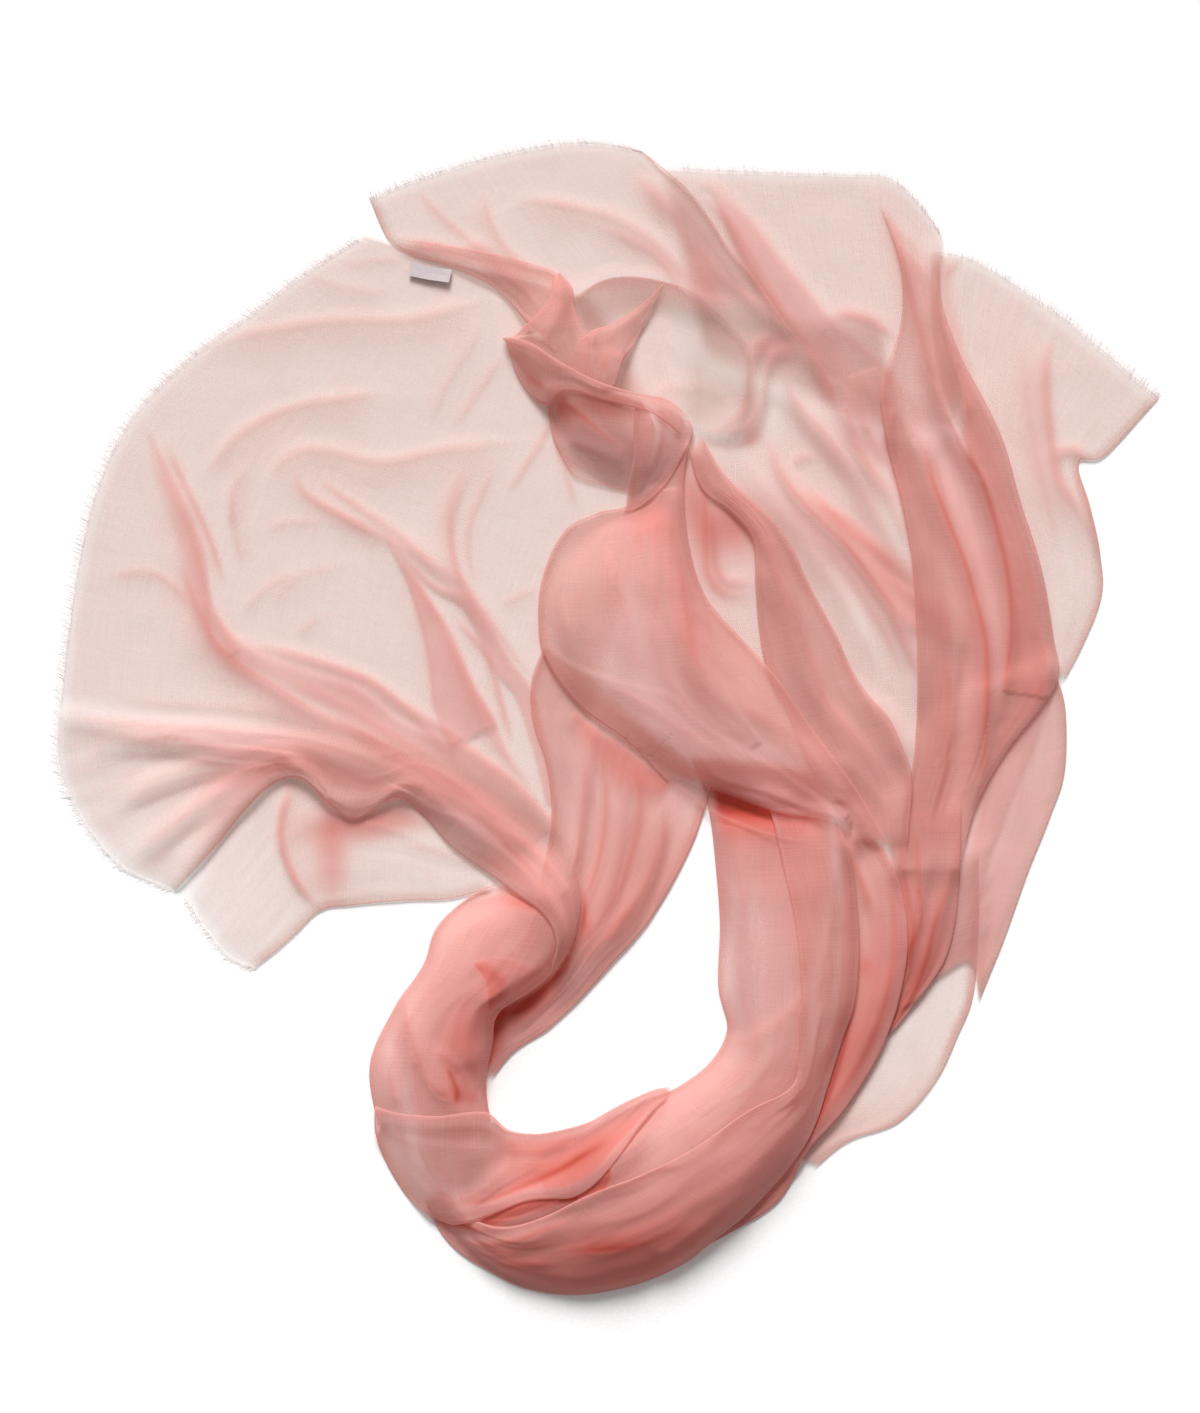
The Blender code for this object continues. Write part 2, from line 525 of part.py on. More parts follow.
def even_out(z):
    """Half-way to the mean of the neighbours, the edges along themselves."""
    mean = z.copy()
    mean[1:-1, 1:-1] = 0.25 * (z[:-2, 1:-1] + z[2:, 1:-1] + z[1:-1, :-2] + z[1:-1, 2:])
    mean[0, 1:-1] = 0.5 * (z[0, :-2] + z[0, 2:])
    mean[-1, 1:-1] = 0.5 * (z[-1, :-2] + z[-1, 2:])
    mean[1:-1, 0] = 0.5 * (z[:-2, 0] + z[2:, 0])
    mean[1:-1, -1] = 0.5 * (z[:-2, -1] + z[2:, -1])
    return 0.5 * (z + mean)


def steepness(grid, z):
    """1 / cosine of the slope at each grid point, up to STEEPEST."""
    step_u = np.gradient(grid, axis=0)
    step_v = np.gradient(grid, axis=1)
    rise_u = np.gradient(z, axis=0)
    rise_v = np.gradient(z, axis=1)
    area = step_u[..., 0] * step_v[..., 1] - step_u[..., 1] * step_v[..., 0]
    area = np.where(np.abs(area) < 1.0, 1.0, area)
    slope_x = (rise_u * step_v[..., 1] - rise_v * step_u[..., 1]) / area
    slope_y = (rise_v * step_u[..., 0] - rise_u * step_v[..., 0]) / area
    return np.clip(np.sqrt(1.0 + slope_x**2 + slope_y**2), 1.0, STEEPEST)


def lay(surface, name, stretch, flat_bottom=False):
    """Lay a stretch on what is beneath it; returns its plan grid, lower and upper heights."""
    rows, cols = stretch["grid"]
    grid = plan_grid(stretch)
    xy = grid.reshape(-1, 2)
    triangles = grid_triangles(rows, cols)
    found = surface.samples(xy, triangles)
    z = np.zeros(len(xy))
    if not flat_bottom:
        z = surface.lift(z, triangles, found, 6, True)
        for _ in range(SETTLE_ROUNDS):
            z = np.maximum(even_out(z.reshape(rows + 1, cols + 1)).ravel() - SAG, 0.0)
            z = surface.lift(z, triangles, found, 2, True)
        z = surface.lift(z, triangles, found, 12, True)
        z = surface.lift(z, triangles, found, 4, False)
    if "heights" in stretch:
        across = np.linspace(-1.0, 1.0, cols + 1)
        dome = np.sqrt(1.0 - DOME_EDGE * across**2)
        lower = z.reshape(rows + 1, cols + 1)
        upper = lower + section_values(stretch, "heights", rows)[:, None] * dome[None, :]
    else:
        spacing = run_length(grid[rows // 2])[-1] / cols
        lower = (z + all_folds(name, xy, FOLD_REACH * spacing)).reshape(rows + 1, cols + 1)
        upper = lower + stretch.get("wall", WALL) * steepness(grid, lower)
    surface.cover(upper.ravel(), triangles, found)
    return grid, lower, upper


# ---- solids ---------------------------------------------------------------------------------------
def to_metres(xy, z):
    """A plan point and a height in millimetres, as a point of the part in metres."""
    return ((xy[0] - PLAN_CENTRE[0]) * MM, (PLAN_CENTRE[1] - xy[1]) * MM, z * MM)


def cloth_material(name, colour):
    """Matt woven cloth of one colour."""
    material = bpy.data.materials.new(name)
    material.use_nodes = True
    shader = material.node_tree.nodes["Principled BSDF"]
    shader.inputs["Base Color"].default_value = (*colour, 1.0)
    shader.inputs["Roughness"].default_value = 0.9
    shader.inputs["Metallic"].default_value = 0.0
    material.diffuse_color = (*colour, 1.0)
    return material


def add_object(name, corners, faces, colour):
    """A named object from corners and faces, its faces turned outwards."""
    mesh = bpy.data.meshes.new(name)
    shape = bmesh.new()
    made = [shape.verts.new(corner) for corner in corners]
    for face in faces:
        shape.faces.new([made[k] for k in face])
    bmesh.ops.recalc_face_normals(shape, faces=shape.faces)
    shape.to_mesh(mesh)
    shape.free()
    mesh.shade_smooth()
    mesh.materials.append(cloth_material(name + "_cloth", colour))
    item = bpy.data.objects.new(name, mesh)
    bpy.context.collection.objects.link(item)
    return item


def add_wall(name, grid, lower, upper, colour):
    """The closed wall between a stretch's lower and upper side."""
    rows, cols = grid.shape[0] - 1, grid.shape[1] - 1
    count = (rows + 1) * (cols + 1)
    corners = [to_metres(grid[i, j], lower[i, j]) for i in range(rows + 1) for j in range(cols + 1)]
    corners += [to_metres(grid[i, j], upper[i, j]) for i in range(rows + 1) for j in range(cols + 1)]
    flat = grid_triangles(rows, cols)
    faces = [tuple(t) for t in flat] + [tuple(t + count) for t in flat]
    rim = [j for j in range(cols)] + [i * (cols + 1) + cols for i in range(rows)]
    rim += [rows * (cols + 1) + j for j in range(cols, 0, -1)] + [i * (cols + 1) for i in range(rows, 0, -1)]
    for k, here in enumerate(rim):
        there = rim[(k + 1) % len(rim)]
        faces.append((here, there, there + count))
        faces.append((here, there + count, here + count))
    return add_object(name, corners, faces, colour)


def hem_line(grid, edge):
    """The plan points of one edge of a grid, and the sign that turns its normal outwards."""
    line = {"a": grid[:, 0], "b": grid[:, -1], "first": grid[0], "last": grid[-1]}[edge]
    inside = {"a": grid[:, 1], "b": grid[:, -2], "first": grid[1], "last": grid[-2]}[edge]
    middle = len(line) // 2
    step = line[middle] - line[middle - 1]
    inward = inside[middle] - line[middle]
    return line, -1.0 if step[0] * inward[1] - step[1] * inward[0] > 0.0 else 1.0


def add_fringe(name, grid, lower, edge, start, end, colour, draw):
    """A narrow strip just outside a frayed hem, with strands that stand apart beyond it."""
    line, side = hem_line(grid, edge)
    level = {"a": lower[:, 0], "first": lower[0]}[edge]
    length = run_length(line)
    count = int(length[-1] * (end - start) / STRAND_PITCH)
    first_at = length[-1] * start
    marks = []
    for k in range(count):
        marks += [first_at + k * STRAND_PITCH, first_at + k * STRAND_PITCH + STRAND_WIDTH]
    corners, faces = [], []

    def place(at, out, z):
        x, y = np.interp(at, length, line[:, 0]), np.interp(at, length, line[:, 1])
        dx = np.interp(at + 4.0, length, line[:, 0]) - np.interp(at - 4.0, length, line[:, 0])
        dy = np.interp(at + 4.0, length, line[:, 1]) - np.interp(at - 4.0, length, line[:, 1])
        size = math.hypot(dx, dy)
        return to_metres((x - side * dy / size * out, y + side * dx / size * out), z)

    for at in marks:
        base = float(np.interp(at, length, level)) + STRIP_LIFT
        corners.append(place(at, STRIP_GAP, base + 0.5 * STRIP_HEIGHT))
        corners.append(place(at, STRIP_GAP + STRIP_WIDTH, base + STRIP_HEIGHT))
        corners.append(place(at, STRIP_GAP + STRIP_WIDTH, base))
    for k in range(len(marks) - 1):
        a, b = 3 * k, 3 * k + 3
        faces += [(a, b, b + 1), (a, b + 1, a + 1), (a, a + 2, b + 2), (a, b + 2, b)]
        if k % 2:
            faces += [(a + 1, b + 1, b + 2), (a + 1, b + 2, a + 2)]
            continue
        reach = STRAND_LENGTH * draw.uniform(0.75, 1.05)
        middle = 0.5 * (marks[k] + marks[k + 1]) + draw.uniform(-1.6, 1.6)
        tip = len(corners)
        corners.append(place(middle, STRIP_GAP + STRIP_WIDTH + reach, TIP_LIFT + draw.uniform(0.0, 0.6)))
        faces += [(a + 1, b + 1, tip), (b + 1, b + 2, tip), (b + 2, a + 2, tip), (a + 2, a + 1, tip)]
    last = 3 * (len(marks) - 1)
    faces += [(0, 1, 2), (last, last + 2, last + 1)]
    return add_object(name, corners, faces, colour)


# ---- the wrap, lowest stretch first -----------------------------------------------------------------
LAYING_ORDER = [
    ("loop_heart", LOOP_HEART, DEEP, True),
    ("neck_heart", NECK_HEART, DEEP, True),
    ("lower_lobe", LOWER_LOBE, ONE_PLY, False),
    ("left_spread", LEFT_SPREAD, ONE_PLY, False),
    ("pale_lobe", PALE_LOBE, ONE_PLY, False),
    ("outer_fold", OUTER_FOLD, TWO_PLY, False),
    ("right_corner", RIGHT_CORNER, ONE_PLY, False),
    ("top_back", TOP_BACK, ONE_PLY, False),
    ("fan_middle", FAN_MIDDLE, TWO_PLY, False),
    ("middle_sheet", MIDDLE_SHEET, TWO_PLY, False),
    ("fan_outer", FAN_OUTER, BUNDLE, False),
    ("care_label", CARE_LABEL, LABEL_GREY, False),
    ("top_flap", TOP_FLAP, ONE_PLY, False),
    ("third_leaf", THIRD_LEAF, BUNDLE, False),
    ("inner_strand", INNER_STRAND, BUNDLE, False),
    ("second_leaf", SECOND_LEAF, BUNDLE, False),
    ("outer_strand", OUTER_STRAND, BUNDLE, False),
    ("back_strand", BACK_STRAND, TWO_PLY, False),
    ("fan_strand", FAN_STRAND, BUNDLE, False),
    ("bubble_heart", BUBBLE_HEART, DEEP, False),
    ("bubble", BUBBLE, TWO_PLY, False),
    ("left_rope", LEFT_ROPE, BUNDLE, False),
    ("cuff", CUFF, BUNDLE, False),
    ("left_gather", LEFT_GATHER, TWO_PLY, False),
    ("knot_heart", KNOT_HEART, DEEP, False),
    ("knot_cup", KNOT_CUP, DEEP, False),
    ("knot_tail", KNOT_TAIL, BUNDLE, False),
    ("knot_band", KNOT_BAND, BUNDLE, False),
    ("knot_crown", KNOT_CROWN, BUNDLE, False),
]


def build_wrap():
    """Lay every stretch, then put the frayed ends on."""
    surface = Surface()
    laid = {}
    for name, stretch, colour, on_surface in LAYING_ORDER:
        grid, lower, upper = lay(surface, name, stretch, on_surface)
        laid[name] = (grid, lower)
        add_wall(name, grid, lower, upper, colour)
    draw = np.random.default_rng(7)
    for name, stretch_name, edge, start, end in FRAYED:
        grid, lower = laid[stretch_name]
        add_fringe(name, grid, lower, edge, start, end, ONE_PLY, draw)


for item in list(bpy.data.objects):
    bpy.data.objects.remove(item, do_unlink=True)
build_wrap()
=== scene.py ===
"""The looks of a feather-weight cashmere wrap that was dropped and loosely looped on a flat surface.

Every stretch that shows is a thin sheer sheet of its own, laid over the ones beneath it in the order of
LAYING_ORDER, as its solid is.  Its folds are rows of tables, and each is a soft ridge, steeper on one side.
An attribute says how many layers of cloth are gathered at each point; in pockets, valleys, under the
edges that overhang and on the loop's lower and right sides it is raised further, as painted shade.
The material turns it into how much of the light it lets through, and into a colour that darkens as
it rises.
Plan measures are millimetres on the surface, x to the right and y towards the viewer (down the plan).
"""
import json
import math

import bpy
import numpy as np
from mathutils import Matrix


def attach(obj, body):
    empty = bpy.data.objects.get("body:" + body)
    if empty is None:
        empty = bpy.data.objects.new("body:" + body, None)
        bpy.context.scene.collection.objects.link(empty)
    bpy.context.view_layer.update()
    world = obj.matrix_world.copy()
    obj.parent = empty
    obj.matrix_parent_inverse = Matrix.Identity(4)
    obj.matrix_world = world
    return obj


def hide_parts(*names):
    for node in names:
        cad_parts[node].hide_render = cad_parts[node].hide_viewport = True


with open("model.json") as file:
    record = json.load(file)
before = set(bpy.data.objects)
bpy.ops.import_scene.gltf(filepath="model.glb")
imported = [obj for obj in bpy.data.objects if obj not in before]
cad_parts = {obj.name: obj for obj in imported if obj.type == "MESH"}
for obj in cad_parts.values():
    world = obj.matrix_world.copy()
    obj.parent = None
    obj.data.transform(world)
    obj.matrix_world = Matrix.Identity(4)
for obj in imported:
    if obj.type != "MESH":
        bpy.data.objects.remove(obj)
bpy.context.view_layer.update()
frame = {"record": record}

# ---- driving dimensions, millimetres -------------------------------------------------------------
MM = 0.001
PLAN_CENTRE = (603.27, 713.04)  # the plan point that stands over the origin
PLAN_LOW = (20.0, 100.0)        # the corners of the bed's raster
PLAN_HIGH = (1200.0, 1330.0)
RASTER = 1.5                    # spacing of that raster

# how a sheet is laid
CELL = 2.2                      # spacing of a sheet's points, where its row gives none
BLOCK = 4                       # points between those at which a sheet is settled on what lies beneath
SHEET_GAP = 0.9                 # from a sheet to what it lies on
SAG = 0.30                      # how far a sheet sinks in each coarse round of settling
COARSE_ROUNDS = 26              # rounds of settling, at every BLOCK-th point and then at every point
FINE_ROUNDS = 10
END_FADE = 4.0                  # how fast a curved end straightens out along its sheet, as a power
CALM_WAVES = ((1.6, 70.0, 5), (0.8, 28.0, 6))  # slow waves all over: (height, length, seed)
HEART_CROWN = 0.93              # the nearer to 1, the lower a heart's sides are against its middle
HEART_COVER = 4.0               # of a heart's height, what the sheets over it take up

# how a fold is drawn
FOLD_FADE = 0.256               # share of a fold's length over which each of its ends runs out
FOLD_REACH = 2.6                # how far out a fold is worked out, in its own widths
FOLD_PLIES = 0.08               # plies that a large fold gathers for each millimetre of rise
LEAST_STEEP = 6.0               # the narrowest a ridge can be on its steep and its soft side
LEAST_SOFT = 8.0
RIDGE_END = 0.3                 # share of a ridge's height that is left at its ends
PILED = 4.0                     # where folds already stand higher than this, the next one adds less
PILED_LOSS = 0.35               # how much less
LINE_STEEP = 3.0                # width of the dark line along a fold, on its two sides
LINE_SOFT = 3.2
LINE_SHARE = 0.75               # of the fold's plies, in its dark line
SHADE_STEEP = 3.8               # width of the shade on the steep side; on the soft side it is the fold's
SHADE_SHARE = 0.55              # of the fold's plies, in its shade
SINGLE_PLIES = 1.15             # a stretch with fewer plies than this lies flatter
SINGLE_RELIEF = 0.22            # how much of a fold's rise such a stretch gets, and what others get
GATHERED_RELIEF = 0.85
BAND_MARGIN = 20.0              # how far past its width a band is worked out
BAND_RISE = 8.0                 # width over which a band of folded cloth rises

# edges
EDGE_PLIES = 1.5                # a gathered stretch thins out to this at its rolled edges
EDGE_REACH = 7.0                # how far in from the edge it does so
EDGE_LINE = 0.7                 # plies that the roll of an edge adds at its brink
BRINK = 2.4                     # how far in those reach
HEM_REACH = 14.0                # a frayed hem thins out over this, down to HEM_PLIES of its plies
HEM_PLIES = 0.62
UNDER_GAP = 0.35                # from a turned-under edge to what it lies on
LEAST_DROP = 0.2                # an edge rolls down by this at the least
ROLL = ((0.6, 0.16, 0.9), (1.0, 0.42, 0.7), (0.75, 0.72, 0.5), (0.1, 0.95, 0.4))  # (out, down, plies kept)
RETURN = ((4.0, 0.3), (8.0, 0.1), (12.0, 0.0))  # of what runs back underneath: (how far, plies kept)

# yarn ends
THREAD_PITCH = 1.1              # mean spacing of the yarn ends along a hem
THREAD_RADIUS = 0.14
THREAD_LENGTH = 9.5             # of the longest, more or less
THREAD_SHAPE = ((-0.12, 1.0), (0.35, 1.0), (0.7, 0.8), (1.0, 0.3))  # (share of its length, of its radius)
THIRD_TURN = 2.1                # radians, nearly a third of a turn, between a yarn end's three corners

# ---- finishes ------------------------------------------------------------------------------------------
COVER = 0.33                    # how much of the light one ply of the cloth holds back
GLOW = 0.5                      # share of that light which comes through as a glow, while the plies are few
SLUBS = (900.0, 22.0)           # uneven yarn, in waves for each metre across and along it
YARN_PITCH = 0.0011             # metres from one raised yarn to the next
WHITE = (1.0, 1.0, 1.0, 1.0)
SHEEN = (1.0, 0.86, 0.83, 1.0)
# the cloth's colour from the front and with the light behind it: (tenth of its plies, red, green, blue);
# the darkest stops of the front colour are painted shade, for deep pockets that the light doesn't reach
FRONT_AND_SHADE = ((0.13, 0.875, 0.54, 0.515), (0.30, 0.80, 0.45, 0.42), (0.42, 0.75, 0.36, 0.325),
       (0.60, 0.68, 0.245, 0.21), (1.00, 0.50, 0.08, 0.055))
THROUGH = ((0.13, 0.91, 0.42, 0.34), (0.30, 0.88, 0.35, 0.28), (0.60, 0.84, 0.20, 0.14),
           (1.00, 0.58, 0.045, 0.025))
# a slight dimming, most of it in red, of the light that goes straight through thin cloth: painted shade
# on the floor seen through it, as if less light reached the floor under the cloth
TINTS = {"sheer_cashmere": (0.90, 0.98, 0.968), "gathered_cashmere": (0.985, 0.975, 0.965),
         "hidden_layers": (1.0, 0.97, 0.96)}

# ---- camera and light ----------------------------------------------------------------------------------
VIEW_CENTRE = (600.0, 706.5)    # the plan point under the camera
VIEW_LONG = 1.413               # metres of floor along the picture's long side
SENSOR = 36.0
LENS = 150.0
SUN_STRENGTH = 4.2
SUN_WIDTH = 24.0                # degrees
SUN_TILT = (-53.0, -10.0)
SKY_STRENGTH = 0.31
SKY = (1.0, 0.98, 0.97, 1.0)
FLOOR_SIZE = 8.0                # metres

# ---- stretches -----------------------------------------------------------------------------------------
# sections: (ax, ay, bx, by), the plan points of the edges a and b, from the first end to the last
# first_end, last_end: plan points between a and b along an end that is curved
# heights: of a heap's packed plies, over each section
# plies: one count for the whole, or one or an (a, b) pair for each section; where the loop lies in shade,
# these counts are raised past the real layers, as painted shade
# gather: (ridges across, rise, plies) of the fine gathers that run along the stretch
# fades: the edges where it goes on beneath another stretch, and how far in from them it thins out
# turned: the edges that roll under; edge: the plies there, where they aren't EDGE_PLIES; on the loop's outer
# leaves these higher edge counts are partly painted shade along their lower edges
# cell: the spacing of its points, where it isn't CELL; node: the solid's node, where that has another name
# In fades and turned, a and b are the two sides and f and l the first and the last end.
STRETCHES = {
    "lower_lobe": {
        "sections": [(178, 884, 255, 967), (230, 800, 290, 938), (300, 750, 321, 910), (350, 760, 350, 905),
            (400, 775, 400, 900), (450, 800, 450, 898), (505, 835, 500, 884)],
        "first_end": [(190, 902), (208, 930), (230, 955)],
        "plies_and_shade": [0.65, 0.7, 0.85, 1.0, 0.9, 0.8, 0.8],
        "gather": (5, 0.5, 0.15), "fades": {"a": 30, "l": 25}, "turned": "b",
    },
    "left_spread": {
        "sections": [(365, 235, 600, 300), (300, 276, 640, 370), (245, 318, 655, 440), (190, 357, 655, 510),
            (130, 420, 640, 570), (95, 495, 620, 640), (78, 570, 600, 710), (68, 640, 585, 780),
            (60, 715, 572, 868)],
        "first_end": [(450, 262), (530, 282)],
        "last_end": [(126, 724), (212, 730), (300, 748), (384, 782), (460, 818), (520, 850)],
        "plies_and_shade": 1.0,
        "fades": {"b": 25, "l": 30}, "turned": "", "cell": 2.1,
    },
    "pale_lobe": {
        "sections": [(978, 850, 925, 850), (978, 930, 910, 940), (973, 994, 890, 1000),
            (958, 1035, 868, 1042), (936, 1080, 842, 1085), (898, 1122, 815, 1118), (850, 1140, 795, 1138),
            (813, 1168, 785, 1158)],
        # the last counts are partly painted shadow from the loop beside it
        "plies_and_shade": [0.8, 0.8, 0.8, 0.8, 0.9, 1.1, 1.5, 2.0],
        "gather": (2, 0.4, 0.1), "fades": {"b": 12, "f": 20, "l": 10}, "turned": "a",
    },
    "outer_fold": {
        "sections": [(1050, 665, 965, 700), (1064, 705, 972, 745), (1064, 770, 965, 800),
            (1050, 815, 955, 850), (1028, 870, 940, 895), (1006, 932, 928, 940), (978, 1003, 905, 1003)],
        "last_end": [(968, 966), (935, 982)],
        "plies_and_shade": [1.6, 1.9, 2.0, 2.0, 2.2, 2.6, 3.0],
        "gather": (3, 0.7, 0.3), "fades": {"b": 25, "f": 15, "l": 12}, "turned": "a",
    },
    "right_corner": {
        "sections": [(930, 250, 1158, 398), (930, 330, 1105, 455), (945, 400, 1078, 462),
            (975, 460, 1089, 505), (1010, 520, 1099, 551), (1028, 585, 1101, 595), (1045, 650, 1082, 645),
            (1052, 678, 1062, 682)],
        "first_end": [(965, 258), (990, 270), (1035, 299), (1067, 321), (1105, 353)],
        "plies_and_shade": 1.0,
        "gather": (3, 0.5, 0.1), "fades": {"a": 5, "l": 12}, "turned": "b",
    },
    "top_back": {
        "sections": [(655, 165, 700, 360), (700, 170, 750, 380), (752, 172, 800, 400), (800, 174, 850, 420),
            (850, 175, 890, 435), (890, 179, 925, 440), (922, 208, 950, 425), (946, 244, 968, 400)],
        "last_end": [(942, 280), (946, 330)],
        "plies_and_shade": 1.12,
        "fades": {"b": 30, "f": 20, "l": 8}, "turned": "",
    },
    "fan_middle": {
        "sections": [(684, 306, 880, 308), (672, 425, 905, 400), (662, 500, 930, 470), (665, 570, 945, 540),
            (685, 640, 955, 610), (720, 700, 955, 680), (770, 750, 945, 750), (820, 790, 930, 810),
            (860, 830, 915, 870)],
        "plies_and_shade": [(0.1, 1.2), (0.3, 1.3), (1.1, 1.3), (1.3, 1.3), (1.3, 1.2), (1.3, 1.2), (1.3, 1.2),
            (1.3, 1.2), (1.4, 1.4)],
        "gather": (4, 0.4, 0.1), "fades": {"a": 24, "f": 26, "b": 16, "l": 25}, "turned": "",
    },
    "middle_sheet": {
        "sections": [(572, 300, 600, 395), (605, 280, 640, 408), (643, 278, 675, 420), (690, 292, 705, 430),
            (728, 324, 735, 432), (752, 350, 760, 420)],
        "plies_and_shade": [1.0, 1.0, 1.1, 0.9, 0.7, 0.4],
        "fades": {"b": 18, "f": 8, "l": 15}, "turned": "a",
    },
    "fan_outer": {
        "sections": [(938, 258, 880, 205), (940, 300, 902, 270), (955, 350, 900, 330), (978, 395, 882, 385),
            (1001, 445, 888, 445), (1016, 500, 903, 505), (1037, 565, 913, 565), (1051, 635, 917, 625),
            (1054, 685, 918, 690), (1006, 751, 915, 750), (975, 806, 905, 810), (958, 868, 898, 868)],
        "plies_and_shade": [(0.3, 0.2), (0.4, 0.3), (0.6, 0.5), (0.9, 0.9), (1.4, 1.8), (1.8, 2.4), (2.1, 2.7),
            (2.3, 3.0), (2.8, 3.4), (3.2, 3.8), (3.2, 3.8), (3.0, 3.4)],
        "gather": (5, 0.9, 0.25), "fades": {"f": 12, "l": 45}, "turned": "ab",
    },
    "top_flap": {
        "sections": [(370, 199, 531, 322), (414, 181, 560, 330), (470, 163, 600, 334), (529, 149, 640, 322),
            (574, 143, 680, 318), (610, 145, 730, 330), (643, 152, 800, 345)],
        "first_end": [(383, 230), (396, 245), (421, 258), (452, 265), (483, 276), (513, 296)],
        "last_end": [(666, 171), (689, 191), (712, 222), (728, 248), (750, 273), (775, 310)],
        "plies_and_shade": 1.0,
        "fades": {"b": 28}, "turned": "fl",
    },
    "third_leaf": {
        "sections": [(960, 800, 890, 800), (958, 868, 885, 868), (955, 915, 888, 920), (943, 962, 886, 975),
            (909, 1010, 868, 1035), (875, 1052, 838, 1090), (840, 1105, 805, 1135), (801, 1160, 785, 1155)],
        # the high counts towards the loop's lower right are partly painted shade on its shaded side
        "plies_and_shade": [(2.4, 2.6), (2.8, 2.8), (4.2, 3.6), (6.8, 4.8), (8.0, 5.8), (8.5, 6.5), (8.0, 7.0),
            (7.0, 7.0)],
        "gather": (4, 1.0, 0.5), "fades": {"f": 45, "b": 14, "l": 10}, "turned": "a", "edge": 3.5,
    },
    "inner_strand": {
        "sections": [(690, 752, 840, 765), (706, 795, 832, 790), (715, 850, 832, 850), (721, 920, 825, 920),
            (719, 985, 815, 985), (728, 1028, 810, 1045), (712, 1061, 790, 1095), (679, 1087, 740, 1125),
            (640, 1103, 690, 1158), (595, 1130, 640, 1185), (545, 1165, 590, 1205), (500, 1188, 535, 1232),
            (455, 1195, 485, 1236)],
        # the high counts at the first end are painted shade under the bubble's lower part
        "plies_and_shade": [(6.0, 5.0), (6.4, 5.8), (2.2, 2.6), (0.6, 1.8), (0.5, 1.6), (0.9, 1.8), (2.0, 1.4),
            (2.8, 0.8), (3.0, 0.8), (3.2, 1.8), (3.4, 3.0), (3.6, 3.6), (3.6, 3.6)],
        "gather": (4, 0.9, 0.3), "fades": {"f": 16, "b": 16, "l": 15}, "turned": "a",
    },
    "second_leaf": {
        "sections": [(851, 817, 820, 815), (888, 860, 838, 862), (905, 919, 838, 925), (902, 980, 834, 993),
            (882, 1045, 822, 1040), (848, 1102, 808, 1085), (805, 1153, 785, 1125), (778, 1200, 745, 1168),
            (725, 1235, 695, 1212), (680, 1256, 655, 1245)],
        # the high counts down the loop's right side are partly painted shade
        "plies_and_shade": [(2.6, 2.6), (2.8, 2.6), (3.4, 2.8), (5.0, 3.8), (6.0, 4.6), (6.0, 4.6), (6.0, 4.6),
            (6.0, 4.6), (6.0, 4.6), (6.0, 4.6)],
        "gather": (4, 0.9, 0.3), "fades": {"f": 30, "b": 12, "l": 20}, "turned": "a", "edge": 4.0,
    },
    "outer_strand": {
        "sections": [(830, 812, 770, 800), (848, 855, 782, 860), (857, 925, 795, 925), (854, 995, 801, 988),
            (841, 1039, 799, 1034), (826, 1087, 794, 1082), (808, 1136, 747, 1109), (770, 1186, 694, 1146),
            (722, 1231, 640, 1173), (664, 1273, 590, 1192), (592, 1293, 545, 1215), (530, 1289, 505, 1226),
            (482, 1266, 472, 1218), (446, 1238, 450, 1200), (424, 1198, 436, 1180)],
        # the high counts round the loop's foot are partly painted shade on its lower side, away from the
        # light
        "plies_and_shade": [(3.0, 3.4), (1.8, 1.8), (1.4, 1.5), (1.4, 1.4), (1.5, 1.3), (2.2, 1.2), (2.8, 1.1),
            (3.6, 1.1), (5.2, 1.3), (6.8, 2.0), (7.2, 3.0), (6.6, 3.6), (5.2, 3.6), (3.0, 2.4), (1.6, 1.6)],
        "gather": (4, 0.9, 0.3), "fades": {"f": 45, "l": 15}, "turned": "ab", "edge": 3.0,
    },
    "back_strand": {
        "sections": [(548, 640, 715, 770), (532, 680, 706, 800), (533, 720, 694, 838), (547, 765, 672, 882),
            (552, 815, 645, 925), (545, 865, 610, 964), (535, 920, 575, 1003), (500, 965, 545, 1030),
            (465, 1000, 512, 1052), (450, 1050, 490, 1080)],
        "plies_and_shade": [(1.4, 1.2), (1.2, 1.6), (1.2, 2.6), (1.3, 3.4), (1.6, 3.4), (1.6, 2.8), (1.6, 2.8),
            (3.0, 3.2), (3.6, 3.2), (2.6, 2.6)],
        "gather": (7, 1.2, 0.4), "fades": {"f": 20, "l": 18}, "turned": "ab", "edge": 2.4,
    },
    "fan_strand": {
        "sections": [(700, 436, 688, 446), (722, 475, 702, 488), (750, 502, 732, 512), (772, 522, 752, 534),
            (790, 546, 757, 560), (804, 576, 757, 588), (820, 606, 759, 622), (838, 640, 764, 656),
            (852, 672, 774, 688), (868, 697, 788, 712), (887, 718, 801, 745), (900, 746, 816, 773),
            (910, 780, 838, 800), (906, 850, 872, 850)],
        "plies_and_shade": [(3.0, 3.0), (2.4, 2.8), (2.2, 2.8), (2.2, 2.8), (1.9, 2.8), (1.4, 2.8), (1.2, 2.6),
            (1.2, 2.2), (1.3, 1.9), (1.5, 1.9), (1.9, 2.2), (2.4, 2.6), (2.8, 2.8), (2.6, 2.6)],
        "gather": (3, 0.7, 0.25), "fades": {"f": 12, "l": 22}, "turned": "ab",
    },
    "bubble": {
        "sections": [(600, 512, 688, 448), (568, 528, 683, 490), (548, 562, 688, 545), (539, 605, 706, 598),
            (546, 655, 742, 640), (580, 704, 779, 682), (630, 742, 813, 731), (672, 784, 845, 775),
            (720, 815, 865, 805), (775, 835, 878, 828), (820, 842, 888, 845)],
        "first_end": [(628, 506), (654, 488)],
